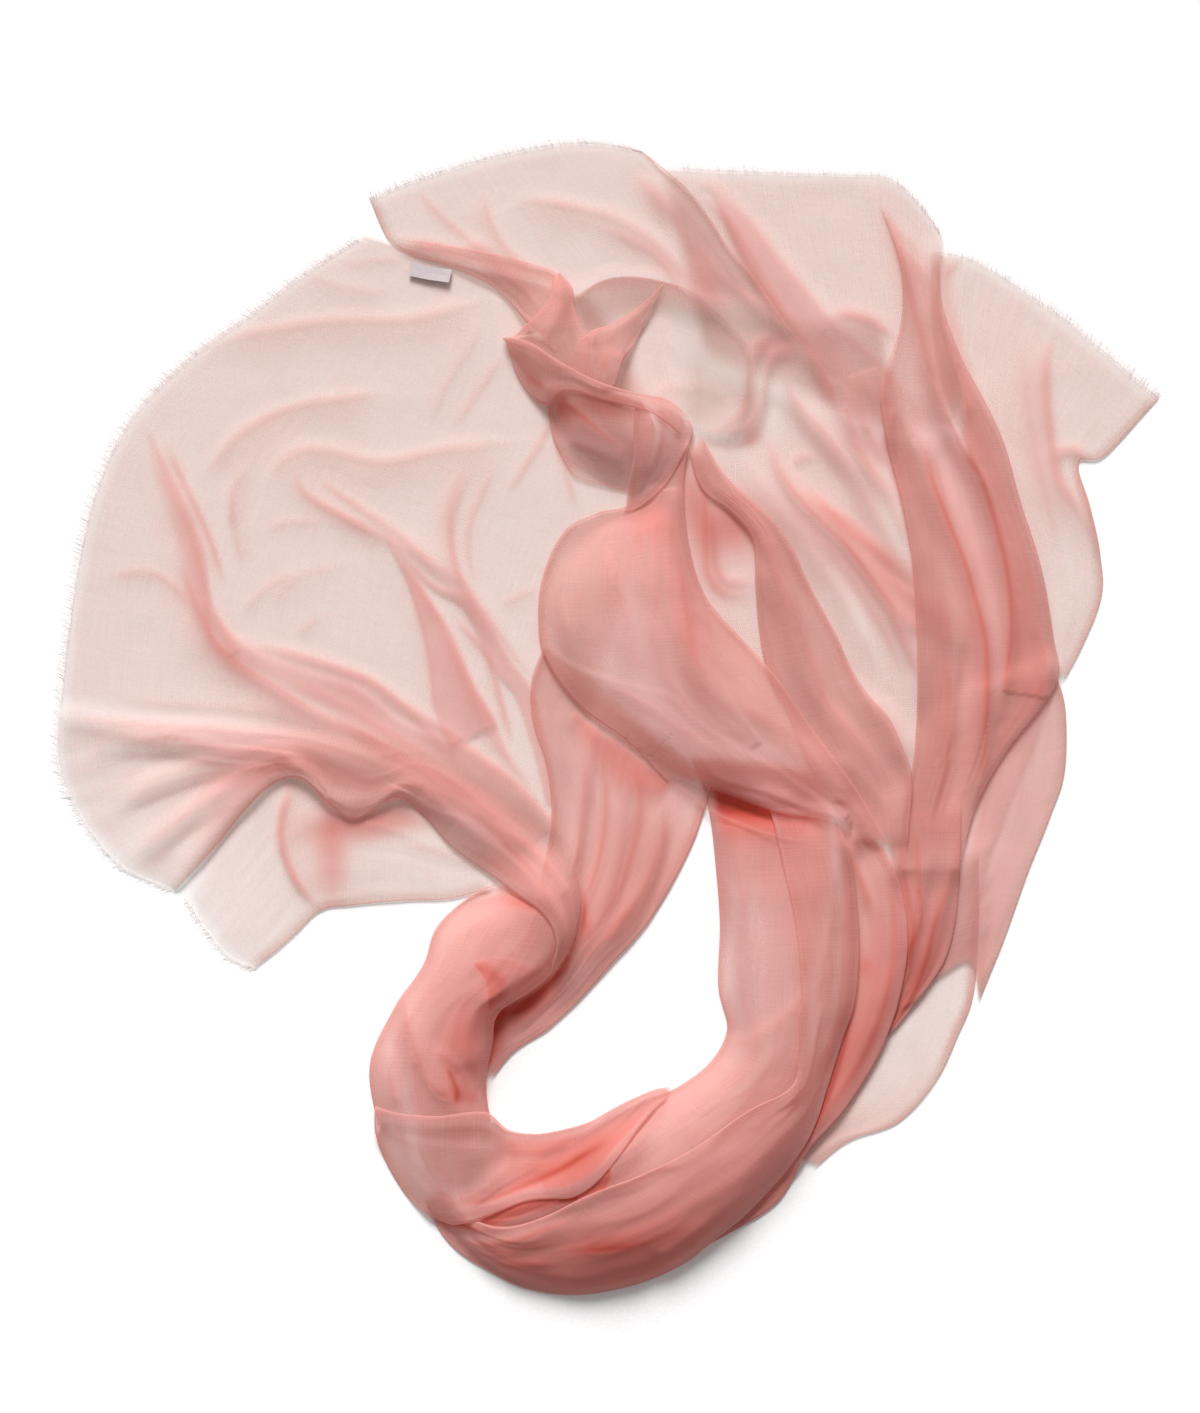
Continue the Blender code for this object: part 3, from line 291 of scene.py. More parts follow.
        "plies_and_shade": [(1.2, 2.4), (1.2, 2.4), (1.1, 2.2), (1.0, 2.0), (1.0, 1.7), (1.1, 1.7), (1.3, 1.8),
            (1.8, 2.0), (2.4, 2.4), (2.6, 2.6), (2.6, 2.6)],
        "gather": (4, 0.7, 0.2), "fades": {"l": 26}, "turned": "abf",
    },
    "left_rope": {
        "sections": [(500, 880, 575, 870), (462, 903, 580, 905), (436, 930, 568, 948), (424, 965, 535, 985),
            (397, 1005, 495, 1012), (376, 1045, 489, 1045), (370, 1075, 484, 1080), (377, 1120, 490, 1122)],
        "plies_and_shade": [(2.4, 2.2), (2.2, 2.0), (2.0, 2.4), (1.7, 3.0), (1.3, 3.4), (1.1, 3.4), (1.1, 3.0),
            (0.6, 1.6)],
        "gather": (5, 1.2, 0.4), "fades": {"f": 34, "l": 10}, "turned": "ab",
    },
    "cuff": {
        "sections": [(378, 1109, 430, 1216), (430, 1115, 453, 1221), (480, 1112, 490, 1212),
            (506, 1130, 525, 1198), (530, 1134, 550, 1195), (552, 1132, 572, 1194), (587, 1123, 595, 1180),
            (613, 1109, 615, 1157), (633, 1099, 630, 1137), (655, 1090, 652, 1110), (672, 1088, 668, 1096)],
        "first_end": [(382, 1150), (403, 1190)],
        # the high counts in the middle are painted shade in the valley above the cuff's lower lip
        "plies_and_shade": [(1.1, 1.3), (1.2, 1.4), (1.6, 1.7), (2.8, 2.2), (4.6, 2.6), (5.4, 3.0), (5.4, 3.0),
            (4.4, 3.0), (3.2, 2.6), (2.4, 2.4), (2.0, 2.0)],
        "gather": (3, 0.7, 0.2), "fades": {"l": 8}, "turned": "abf",
    },
    "left_gather": {
        "sections": [(62, 690, 175, 890), (130, 698, 215, 845), (212, 704, 262, 790), (300, 712, 300, 776),
            (348, 722, 328, 800), (390, 732, 356, 818), (432, 742, 396, 796), (470, 756, 425, 815),
            (515, 780, 455, 848), (556, 815, 508, 885), (580, 858, 545, 912), (588, 905, 558, 940),
            (578, 944, 554, 962), (564, 970, 552, 975)],
        "first_end": [(58, 745), (66, 785), (88, 825), (122, 864)],
        "plies_and_shade": [(0.8, 0.8), (0.8, 0.8), (0.8, 1.0), (0.9, 1.7), (1.0, 2.1), (1.1, 2.3), (1.2, 2.0),
            (1.3, 2.0), (1.6, 2.2), (1.8, 2.4), (1.8, 2.0), (1.4, 1.4), (0.9, 0.9), (0.7, 0.7)],
        "gather": (6, 0.8, 0.3), "fades": {"a": 34, "l": 10}, "turned": "b",
    },
    "knot_cup": {
        "sections": [(552, 384, 640, 402), (549, 405, 652, 420), (552, 432, 655, 440), (562, 456, 650, 462),
            (573, 474, 642, 480), (588, 481, 636, 494)],
        "plies_and_shade": [(3.8, 3.6), (3.8, 3.0), (2.0, 1.8), (0.7, 0.8), (0.5, 0.6), (0.5, 0.5)],
        "fades": {"f": 4}, "turned": "al", "cell": 1.6,
    },
    "knot_tail": {
        "sections": [(636, 402, 688, 418), (634, 425, 692, 432), (634, 457, 682, 456), (630, 485, 667, 482),
            (627, 506, 648, 501), (622, 514, 632, 511)],
        "plies_and_shade": 1.7,
        "gather": (2, 0.4, 0.2), "fades": {"f": 6, "l": 4}, "turned": "ab", "cell": 1.6,
    },
    "knot_crown": {
        "sections": [(559, 273, 554, 280), (570, 287, 552, 297), (573, 308, 534, 320), (581, 328, 518, 336),
            (588, 341, 505, 340), (590, 365, 530, 352), (600, 388, 556, 372)],
        "plies_and_shade": 1.3,
        "gather": (3, 0.5, 0.3), "fades": {"l": 16}, "turned": "ab", "cell": 1.6,
    },
    "knot_wing": {
        "sections": [(576, 344, 560, 366), (590, 336, 580, 378), (606, 329, 600, 388), (624, 318, 614, 386),
            (640, 307, 622, 362), (652, 296, 637, 338), (664, 284, 658, 296)],
        "plies_and_shade": 1.3,
        "gather": (2, 0.4, 0.2), "fades": {"f": 12}, "turned": "ab", "cell": 1.6, "node": "knot_band",
    },
    "knot_band": {
        "sections": [(504, 339, 508, 348), (517, 341, 516, 372), (534, 347, 530, 394), (552, 360, 549, 403),
            (566, 368, 562, 392), (588, 380, 580, 393), (616, 391, 606, 401), (650, 398, 646, 412),
            (672, 405, 668, 424), (688, 418, 682, 436)],
        "plies_and_shade": 1.5,
        "gather": (2, 0.4, 0.3), "fades": {"l": 8}, "turned": "ab", "cell": 1.6,
    },
    "knot_roll": {
        "sections": [(392, 238, 390, 248), (420, 242, 416, 257), (458, 248, 450, 266), (500, 256, 486, 282),
            (530, 264, 508, 300), (552, 272, 530, 322), (560, 285, 545, 338), (566, 300, 556, 350)],
        "plies_and_shade": [0.2, 0.2, 0.3, 0.4, 0.6, 0.8, 0.9, 0.8],
        "gather": (3, 0.5, 0.2), "fades": {"l": 18, "f": 30}, "turned": "ab", "cell": 1.8,
        "node": "knot_crown",
    },
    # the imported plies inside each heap, with their height over each section
    "loop_heart": {
        "sections": [(832, 830, 725, 830), (838, 900, 735, 900), (835, 985, 740, 985),
            (815, 1060, 745, 1040), (785, 1135, 715, 1080), (722, 1208, 665, 1120), (648, 1262, 605, 1150),
            (578, 1280, 560, 1175), (515, 1268, 515, 1195), (468, 1240, 480, 1205)],
        "heights": [16, 30, 34, 34, 34, 34, 34, 34, 26, 12],
        # the high counts at the loop's foot are partly painted shade on its lower side
        "plies_and_shade": [0.5, 0.2, 0.2, 0.2, (2.5, 0.2), (4.0, 0.2), (6.0, 0.4), (7.0, 1.6), (6.0, 2.4), 2.0],
        "gather": (7, 2.0, 1.0), "fades": {"a": 6, "b": 12, "f": 30, "l": 25}, "turned": "", "cell": 4.0,
    },
    "neck_heart": {
        "sections": [(520, 900, 560, 890), (462, 930, 555, 930), (430, 975, 525, 972),
            (402, 1020, 478, 1020), (385, 1070, 470, 1070), (392, 1120, 480, 1125), (408, 1165, 485, 1165),
            (440, 1195, 475, 1190)],
        "heights": [8, 24, 30, 32, 32, 32, 28, 12],
        "plies_and_shade": [1.0, 1.0, 1.0, 1.0, 0.7, 0.3, 0.3, 0.5],
        "gather": (6, 2.0, 1.0), "fades": {"a": 12, "b": 12, "f": 30, "l": 20}, "turned": "", "cell": 4.0,
    },
    "knot_heart": {
        "sections": [(556, 290, 568, 292), (530, 335, 590, 338), (535, 368, 632, 372), (565, 402, 662, 412),
            (580, 440, 665, 450), (605, 470, 655, 480)],
        "heights": [8, 22, 28, 26, 20, 8],
        "plies_and_shade": 0.3,
        "gather": (3, 1.0, 0.2), "fades": {"a": 8, "b": 8, "f": 12, "l": 12}, "turned": "", "cell": 4.0,
    },
    "bubble_heart": {
        "sections": [(600, 540, 665, 525), (568, 585, 680, 580), (565, 630, 700, 630), (592, 680, 735, 670),
            (642, 728, 775, 715), (700, 770, 815, 765), (755, 803, 838, 798)],
        "heights": [10, 28, 34, 30, 24, 16, 8],
        "plies_and_shade": 0.3,
        "gather": (4, 1.5, 0.2), "fades": {"a": 16, "b": 16, "f": 20, "l": 20}, "turned": "", "cell": 4.0,
    },
}

# ---- large folds -----------------------------------------------------------------------------------------
# (rise, steep side, soft side, path); the soft side is to the right of the path
FOLDS = {
    "lower_lobe": [
        (7, 7, 34, [(318, 905), (290, 866), (283, 817), (300, 772)]),
        (4, 10, 16, [(395, 842), (440, 850), (487, 876)]),
    ],
    "left_spread": [
        (8, 8, 24, [(193, 350), (260, 330), (331, 319), (400, 318), (450, 309), (503, 296)]),
        (8, 8, 28, [(199, 480), (241, 431), (292, 406), (340, 397), (394, 393)]),
        (8, 8, 26, [(262, 495), (285, 457), (318, 448), (382, 460), (450, 447), (529, 441)]),
        (9, 16, 14, [(292, 470), (318, 500), (369, 528), (407, 546), (459, 579), (507, 643), (540, 690)]),
        (5, 9, 12, [(232, 530), (232, 490), (250, 462)]),
        (5, 14, 12, [(405, 560), (420, 620), (430, 680), (434, 730)]),
        (8, 11, 16, [(438, 612), (461, 673), (484, 724), (507, 755), (543, 806)]),
        (6, 12, 12, [(468, 455), (450, 500), (452, 550), (470, 600), (500, 650)]),
        (12, 14, 22, [(137, 449), (178, 500), (195, 544), (205, 590), (212, 636), (241, 665), (284, 693),
            (327, 719), (384, 745), (440, 777), (500, 815)]),
        (7, 9, 16, [(224, 636), (298, 656), (356, 673), (400, 700), (460, 745), (520, 800)]),
        (4, 12, 14, [(490, 315), (455, 370), (425, 430)]),
        (3, 9, 16, [(298, 268), (340, 285), (395, 294)]),
        (5, 14, 14, [(110, 700), (200, 705), (290, 712), (350, 735)]),
        (3, 14, 14, [(265, 610), (300, 575), (350, 565)]),
    ],
    "left_gather": [
        (9, 12, 16, [(72, 716), (130, 726), (212, 731), (300, 741), (380, 765), (450, 800), (520, 842)]),
        (9, 9, 12, [(110, 744), (169, 739), (225, 750), (285, 757), (320, 790), (350, 808)]),
        (7, 8, 12, [(120, 797), (165, 775), (212, 761), (260, 758)]),
        (7, 8, 12, [(130, 858), (170, 825), (205, 803), (250, 775)]),
        (6, 8, 10, [(182, 874), (215, 832), (245, 800), (270, 778)]),
        (8, 9, 12, [(300, 768), (330, 795), (372, 800), (412, 785), (440, 800)]),
        (8, 9, 12, [(430, 800), (480, 838), (530, 878), (556, 905), (560, 940)]),
        (7, 8, 10, [(480, 812), (530, 850), (566, 885), (574, 925), (564, 955)]),
    ],
    "right_corner": [
        (8, 9, 24, [(1054, 325), (1048, 375), (1051, 423), (1060, 471), (1080, 512), (1098, 548)]),
        (4, 12, 20, [(1020, 340), (1030, 420), (1045, 490), (1062, 560)]),
        (4, 8, 12, [(1048, 452), (1075, 448), (1095, 458)]),
    ],
    "top_back": [
        (9, 10, 20, [(700, 185), (740, 212), (770, 250), (800, 285), (830, 320), (880, 365), (925, 420)]),
        (5, 10, 14, [(880, 195), (897, 230), (906, 273), (912, 320), (925, 365)]),
        (5, 9, 18, [(822, 316), (849, 313), (872, 319), (900, 342)]),
    ],
    "fan_middle": [
        (7, 9, 14, [(753, 345), (753, 380), (755, 412), (738, 430), (705, 430)]),
        (7, 10, 14, [(784, 381), (804, 409), (830, 439), (853, 470), (880, 520), (925, 585)]),
        (8, 10, 16, [(766, 427), (776, 465), (804, 503), (855, 554), (881, 592), (906, 631), (919, 682)]),
        (7, 10, 14, [(840, 388), (858, 452), (885, 490), (910, 554)]),
        (6, 10, 16, [(735, 450), (790, 520), (850, 610), (880, 680)]),
        (7, 9, 14, [(862, 690), (890, 720), (912, 760)]),
    ],
    "middle_sheet": [
        (5, 8, 16, [(580, 300), (607, 286), (643, 284), (690, 299), (722, 324)]),
        (4, 8, 12, [(650, 393), (680, 384), (712, 386), (728, 408)]),
    ],
    "fan_outer": [
        (9, 10, 16, [(888, 398), (911, 432), (929, 478), (957, 541), (978, 605), (985, 669), (975, 743),
            (955, 830)]),
        (8, 10, 18, [(936, 391), (971, 455), (997, 519), (1009, 583), (1009, 646), (1000, 710)]),
        (7, 9, 20, [(940, 320), (962, 376), (990, 425), (1011, 480), (1030, 545), (1042, 605),
            (1048, 665)]),
        (6, 12, 12, [(908, 460), (915, 520), (940, 590), (950, 660), (940, 740), (925, 820)]),
        (5, 9, 12, [(890, 225), (915, 290), (925, 345), (938, 390)]),
    ],
    "top_flap": [
        (9, 8, 24, [(506, 214), (529, 200), (580, 207), (620, 219), (656, 242), (682, 270), (712, 305)]),
        (7, 9, 14, [(482, 185), (488, 215), (500, 240), (520, 262), (545, 285)]),
        (6, 8, 14, [(396, 237), (434, 242), (457, 249), (485, 246), (510, 275)]),
        (8, 12, 18, [(630, 172), (665, 200), (686, 235), (706, 275), (725, 310)]),
        (5, 9, 12, [(660, 178), (700, 225), (735, 275), (765, 315)]),
    ],
    "third_leaf": [
        (5, 9, 12, [(935, 830), (918, 900), (905, 960), (875, 1020)]),
    ],
    "inner_strand": [
        (6, 12, 18, [(735, 820), (745, 900), (752, 960), (745, 1020)]),
        (6, 10, 16, [(795, 830), (790, 900), (790, 980), (775, 1050), (720, 1100)]),
        (6, 8, 12, [(520, 1205), (560, 1192), (600, 1170), (640, 1135), (655, 1112)]),
    ],
    "second_leaf": [
        (6, 9, 12, [(866, 850), (880, 900), (878, 960), (862, 1030), (828, 1090)]),
    ],
    "outer_strand": [
        (7, 12, 16, [(815, 840), (826, 920), (824, 990), (812, 1060), (780, 1130), (720, 1180), (650, 1225),
            (580, 1250), (510, 1250)]),
        (5, 9, 12, [(520, 1240), (590, 1222), (650, 1195), (710, 1160), (770, 1118)]),
    ],
    "back_strand": [
        (7, 11, 14, [(575, 720), (585, 780), (580, 840), (565, 890)]),
        (8, 11, 14, [(612, 740), (622, 790), (618, 850), (600, 910), (560, 970)]),
        (7, 10, 14, [(650, 790), (655, 840), (636, 900), (590, 962), (535, 1020)]),
    ],
    "fan_strand": [
        (7, 9, 12, [(705, 460), (735, 500), (765, 545), (785, 600), (800, 660), (830, 720), (868, 780)]),
        (5, 8, 10, [(700, 500), (715, 535), (750, 560), (772, 600)]),
    ],
    "bubble": [
        (6, 14, 22, [(560, 640), (600, 672), (650, 710), (710, 750), (780, 800)]),
        (5, 14, 18, [(640, 530), (620, 580), (625, 640), (660, 690)]),
        (6, 12, 14, [(672, 500), (668, 560), (680, 630), (720, 690), (780, 745)]),
    ],
    "left_rope": [
        (8, 10, 14, [(545, 905), (556, 935), (545, 965), (500, 995)]),
        (8, 9, 22, [(478, 968), (488, 1000), (488, 1036), (478, 1080)]),
        (7, 9, 14, [(410, 1000), (420, 1040), (440, 1080), (456, 1110)]),
        (5, 9, 12, [(385, 1040), (392, 1075), (405, 1108)]),
    ],
    "cuff": [
        (6, 12, 16, [(380, 1118), (430, 1124), (480, 1126), (515, 1150)]),
        (6, 10, 16, [(420, 1200), (465, 1200), (505, 1175), (560, 1148)]),
    ],
    "knot_cup": [
        (5, 8, 10, [(556, 440), (577, 445), (605, 455), (634, 464)]),
    ],
    "knot_tail": [
        (4, 8, 12, [(648, 410), (656, 445), (650, 485)]),
    ],
    "knot_band": [
        (4, 6, 8, [(517, 345), (541, 354), (562, 372), (590, 386), (620, 396), (652, 404)]),
    ],
    "knot_crown": [
        (7, 7, 10, [(559, 278), (560, 300), (555, 322), (545, 340)]),
    ],
    "knot_wing": [
        (5, 6, 10, [(580, 345), (601, 338), (625, 324), (648, 306)]),
    ],
    "knot_roll": [
        (5, 6, 10, [(396, 241), (457, 254), (510, 268), (545, 290)]),
    ],
}

# ---- finer creases ---------------------------------------------------------------------------------------
# (plies, rise, steep side, soft side, path) for the stretch or stretches that the row's key names
CREASES = {
    # the left end
    "left_spread": [
        (0.9, 2, 3, 9, [(162, 436), (186, 485), (206, 528), (219, 565), (226, 590)]),
        (1.0, 3, 3, 10, [(176, 548), (189, 585), (202, 615), (213, 638), (239, 664), (289, 694),
            (332, 727)]),
        (0.5, 2, 4, 12, [(103, 575), (149, 571), (173, 585), (193, 608)]),
        (1.1, 3, 3, 7, [(398, 552), (421, 591), (448, 631), (471, 684), (494, 727), (515, 775)]),
        (0.9, 3, 3, 7, [(448, 611), (471, 635), (488, 658), (501, 701), (513, 750)]),
        (0.8, 3, 3, 6, [(312, 472), (338, 492), (372, 515), (405, 538), (438, 571), (461, 591)]),
        (0.8, 2, 3, 9, [(292, 466), (305, 492), (338, 512), (385, 538)]),
        (0.7, 2, 3, 10, [(474, 462), (458, 495), (451, 525), (455, 562), (468, 588), (481, 618)]),
        (0.5, 2, 3, 9, [(498, 459), (481, 495), (471, 518), (468, 552), (476, 585)]),
        (0.4, 2, 4, 10, [(504, 352), (468, 406), (451, 429)]),
        (0.35, 2, 4, 10, [(239, 615), (265, 588), (299, 568)]),
        (0.3, 1, 4, 10, [(295, 635), (322, 615)]),
        (0.35, 2, 4, 10, [(262, 532), (285, 522), (325, 520)]),
        (0.4, 2, 4, 12, [(242, 568), (236, 538), (232, 505), (240, 482)]),
        (1.0, 3, 3, 9, [(239, 641), (299, 654), (338, 668), (372, 681), (405, 707), (438, 738),
            (480, 775)]),
        (0.8, 2, 3, 8, [(279, 674), (338, 701), (405, 740), (455, 770)]),
        (0.35, 1, 3, 8, [(498, 605), (521, 595), (538, 585)]),
        (0.6, 1, 2, 4, [(560, 405), (538, 445), (514, 482), (504, 494)]),
        (0.5, 1, 2, 5, [(553, 437), (565, 469), (577, 510)]),
        (0.3, 1, 3, 8, [(338, 265), (372, 260), (408, 260)]),
    ],
    "left_gather left_spread": [
        (1.0, 3, 3, 8, [(254, 680), (299, 702), (354, 728), (395, 750), (447, 776), (484, 802), (521, 835),
            (550, 858), (569, 887)]),
        (1.0, 3, 3, 7, [(373, 691), (432, 721), (484, 758), (521, 787), (550, 821), (576, 858), (582, 895),
            (573, 932), (558, 961)]),
    ],
    "left_gather": [
        (1.2, 3, 3, 6, [(484, 817), (506, 843), (532, 872), (554, 898), (565, 920), (561, 950)]),
        (0.6, 2, 3, 8, [(295, 769), (247, 770), (199, 802), (169, 832), (132, 858)]),
        (0.5, 2, 3, 8, [(280, 760), (225, 769), (151, 790), (110, 815)]),
        (0.5, 2, 3, 8, [(290, 775), (247, 802), (225, 817), (195, 854), (180, 876)]),
        (0.8, 2, 3, 7, [(106, 741), (147, 737), (188, 739), (232, 748), (277, 747), (292, 754)]),
        (0.9, 2, 3, 6, [(292, 754), (314, 772), (329, 802), (351, 820), (369, 817), (384, 802), (403, 784),
            (421, 782)]),
    ],
    "lower_lobe": [
        (1.2, 2, 2, 5, [(325, 911), (303, 891), (288, 865), (280, 835), (284, 802), (295, 776)]),
    ],
    # the top
    "top_flap": [
        (0.8, 2, 3, 8, [(601, 224), (625, 236), (654, 251), (674, 275), (686, 290)]),
        (0.9, 2, 3, 7, [(691, 222), (713, 266), (749, 297), (783, 324), (805, 346)]),
        (0.8, 2, 3, 7, [(712, 193), (732, 225), (750, 262), (764, 300)]),
        (0.5, 2, 3, 8, [(414, 186), (440, 215), (470, 240), (500, 262)]),
    ],
    "top_back": [
        (1.1, 4, 3, 7, [(693, 190), (722, 212), (745, 245), (762, 275), (780, 303), (800, 328),
            (826, 352)]),
        (0.9, 4, 3, 9, [(713, 193), (737, 244), (754, 275), (771, 300), (788, 324), (805, 343),
            (840, 378)]),
        (0.8, 2, 3, 10, [(871, 191), (890, 226), (906, 277), (916, 318), (932, 376), (938, 414)]),
        (0.9, 2, 3, 9, [(894, 335), (878, 325), (852, 315), (827, 315)]),
    ],
    # the fan; the ring of cloth at its top
    "fan_middle middle_sheet": [
        (0.9, 3, 3, 8, [(686, 416), (700, 427), (722, 430), (739, 416), (747, 397), (749, 374), (751, 352),
            (764, 337), (789, 333)]),
        (0.8, 3, 3, 6, [(730, 438), (745, 430), (755, 416), (762, 397), (765, 374), (774, 354),
            (796, 350)]),
    ],
    "fan_middle": [
        (1.2, 2, 3, 9, [(800, 345), (815, 362), (828, 382), (836, 402)]),
        (1.0, 2, 3, 10, [(785, 370), (790, 390), (805, 415), (825, 435), (840, 455), (856, 472)]),
        (1.1, 2, 3, 10, [(826, 366), (845, 390), (850, 420), (858, 440), (872, 470), (890, 490),
            (901, 502)]),
        (1.5, 2, 2, 7, [(920, 694), (917, 670), (908, 650), (897, 625), (885, 600), (870, 580), (850, 552),
            (820, 520), (800, 500), (785, 480), (775, 460), (768, 440), (759, 425)]),
        (1.2, 2, 2, 7, [(912, 580), (895, 568), (870, 546), (850, 532), (838, 520), (820, 500),
            (800, 480)]),
        (0.5, 1, 3, 8, [(790, 463), (800, 457), (815, 454)]),
        (0.7, 2, 4, 16, [(760, 485), (790, 512), (830, 548), (862, 590), (888, 635), (905, 680)]),
        (0.8, 2, 3, 9, [(868, 560), (900, 588), (930, 606), (955, 632), (968, 655)]),
        (1.6, 2, 2, 6, [(700, 450), (705, 500), (706, 545), (707, 568), (716, 584), (730, 592),
            (757, 590)]),
        (1.4, 2, 2, 6, [(757, 580), (726, 580), (716, 566), (713, 540), (712, 500)]),
        (1.3, 2, 2, 5, [(733, 703), (762, 716), (785, 730), (802, 745)]),
    ],
    "fan_strand": [
        (1.1, 2, 2, 6, [(700, 440), (715, 465), (735, 490), (750, 502), (770, 520), (790, 546),
            (806, 574)]),
        (1.2, 2, 2, 7, [(706, 480), (740, 508), (762, 528), (773, 552), (775, 575)]),
        (1.7, 3, 3, 10, [(770, 545), (778, 575), (790, 600), (803, 640), (815, 670), (825, 700), (845, 725),
            (870, 755), (890, 780)]),
        (1.4, 3, 3, 8, [(850, 670), (865, 695), (885, 715), (900, 745), (910, 775), (906, 805)]),
        (1.2, 3, 3, 8, [(808, 745), (820, 775), (845, 805), (870, 830)]),
        (0.9, 2, 3, 9, [(836, 745), (860, 775), (885, 805)]),
    ],
    "fan_outer fan_middle": [
        (0.9, 3, 3, 12, [(846, 372), (853, 395), (864, 428), (875, 448), (888, 470)]),
        (1.0, 2, 2, 6, [(893, 405), (888, 425), (884, 452)]),
    ],
    "fan_outer": [
        (2.6, 4, 3, 10, [(884, 388), (910, 430), (925, 455), (932, 480), (945, 515), (955, 540), (965, 565),
            (972, 590), (978, 610), (985, 640), (987, 680), (986, 720), (984, 760), (975, 790),
            (962, 840)]),
        (2.2, 4, 3, 10, [(912, 330), (930, 370), (938, 395), (950, 425), (965, 455), (980, 480), (990, 510),
            (998, 540), (1003, 560), (1008, 590), (1010, 620), (1008, 650), (1002, 690), (997, 735)]),
        (1.4, 2, 2, 6, [(968, 462), (966, 420), (962, 385), (955, 360), (945, 325), (938, 290)]),
        (1.0, 2, 4, 14, [(940, 640), (950, 700), (945, 760), (935, 830)]),
        (1.2, 2, 3, 16, [(1052, 668), (1030, 715), (1002, 748), (978, 782)]),
    ],
    "right_corner": [
        (0.8, 2, 3, 9, [(1069, 462), (1079, 484), (1094, 532), (1101, 564)]),
        (0.9, 5, 3, 24, [(1054, 330), (1045, 359), (1045, 404), (1051, 448), (1057, 477), (1072, 501),
            (1086, 521)]),
        (0.6, 1, 2, 5, [(964, 255), (952, 266), (942, 277)]),
        (1.0, 2, 2, 6, [(1050, 452), (1072, 449), (1082, 455), (1091, 459)]),
    ],
    # the loop
    "inner_strand": [
        (1.0, 4, 4, 14, [(724, 1040), (743, 1040), (761, 1029), (786, 1012), (803, 990)]),
        (1.3, 3, 3, 14, [(797, 975), (800, 1020), (796, 1055), (793, 1082)]),
        (0.8, 2, 4, 16, [(745, 870), (738, 930), (742, 990), (752, 1030)]),
        (0.8, 2, 4, 14, [(815, 850), (812, 900), (806, 950), (800, 985)]),
        (1.0, 2, 4, 16, [(700, 1150), (690, 1132), (700, 1115), (725, 1100), (760, 1082)]),
    ],
    "outer_strand": [
        (1.0, 3, 4, 14, [(794, 1083), (760, 1097), (735, 1112), (705, 1145), (680, 1160), (650, 1165),
            (620, 1175), (600, 1190)]),
        (1.0, 2, 3, 12, [(838, 850), (846, 900), (846, 960), (840, 1010), (826, 1060)]),
        (2.2, 3, 3, 8, [(590, 1198), (560, 1205), (525, 1216), (490, 1226), (455, 1222), (438, 1216)]),
        (1.8, 3, 3, 8, [(580, 1214), (545, 1226), (515, 1238), (485, 1243), (455, 1238)]),
        (1.2, 3, 3, 10, [(560, 1236), (520, 1246), (485, 1253), (460, 1250)]),
        (1.6, 2, 8, 22, [(700, 1215), (650, 1238), (600, 1246), (560, 1246)]),
        (1.2, 2, 6, 14, [(560, 1258), (520, 1264), (490, 1262)]),
    ],
    "second_leaf": [
        (1.8, 3, 3, 7, [(842, 838), (862, 883), (872, 914)]),
        (1.5, 3, 3, 8, [(880, 858), (892, 900), (894, 950), (882, 1010), (858, 1064), (822, 1118)]),
        (3.0, 2, 3, 9, [(852, 960), (850, 1000), (846, 1035), (838, 1065), (826, 1100), (808, 1135),
            (780, 1168), (745, 1205), (700, 1242)]),
    ],
    "third_leaf fan_outer": [
        (2.0, 3, 3, 9, [(977, 785), (965, 830), (949, 883), (935, 923), (926, 956), (909, 1001),
            (892, 1027)]),
    ],
    "third_leaf": [
        (1.8, 3, 3, 8, [(912, 800), (917, 850), (918, 884), (921, 917), (910, 951), (905, 990)]),
        (1.6, 3, 3, 8, [(900, 820), (903, 870), (912, 920), (908, 960), (895, 1000)]),
    ],
    "pale_lobe": [
        (0.7, 1, 2, 5, [(972, 866), (973, 917), (972, 956), (968, 1001), (954, 1032), (935, 1077)]),
    ],
    "cuff": [
        # painted shade in the valley above the cuff's lower lip
        (2.6, -5, 4, 16, [(618, 1136), (590, 1150), (560, 1168), (525, 1184), (495, 1196), (460, 1204),
            (438, 1204)]),
        (0.5, 3, 6, 12, [(385, 1130), (420, 1142), (460, 1146), (500, 1148)]),
        (0.8, 2, 3, 9, [(505, 1130), (515, 1150), (508, 1168), (488, 1184)]),
        (0.8, 2, 3, 8, [(575, 1132), (556, 1146), (530, 1152), (512, 1150)]),
    ],
    # the neck
    "left_rope": [
        (1.6, 4, 2, 8, [(403, 985), (407, 1015), (415, 1045), (428, 1075), (445, 1095), (460, 1113)]),
        (3.0, 2, 2, 5, [(446, 1062), (454, 1078), (458, 1090), (456, 1106)]),
        (1.6, 2, 2, 5, [(388, 1065), (393, 1085), (397, 1108)]),
        (1.0, 2, 3, 8, [(428, 1045), (445, 1055), (462, 1072), (470, 1088)]),
        (1.2, 3, 3, 9, [(490, 1012), (515, 1001), (540, 984), (558, 966), (565, 943), (561, 918),
            (552, 902)]),
        # painted shadow under the edge of the gather above the rope
        (2.0, 2, 2, 12, [(492, 884), (520, 893), (548, 905)]),
    ],
    "back_strand": [
        (2.4, 2, 3, 10, [(576, 868), (584, 900), (580, 932), (566, 962), (548, 985), (520, 1008),
            (494, 1022)]),
        (1.3, 3, 3, 9, [(638, 893), (605, 936), (572, 966), (526, 993), (489, 1014)]),
        (1.4, 3, 4, 9, [(590, 735), (584, 790), (578, 850), (572, 900)]),
        (1.6, 3, 4, 9, [(633, 755), (640, 800), (630, 860), (600, 925), (560, 975)]),
        (1.6, 3, 4, 9, [(600, 740), (606, 800), (598, 860), (580, 920)]),
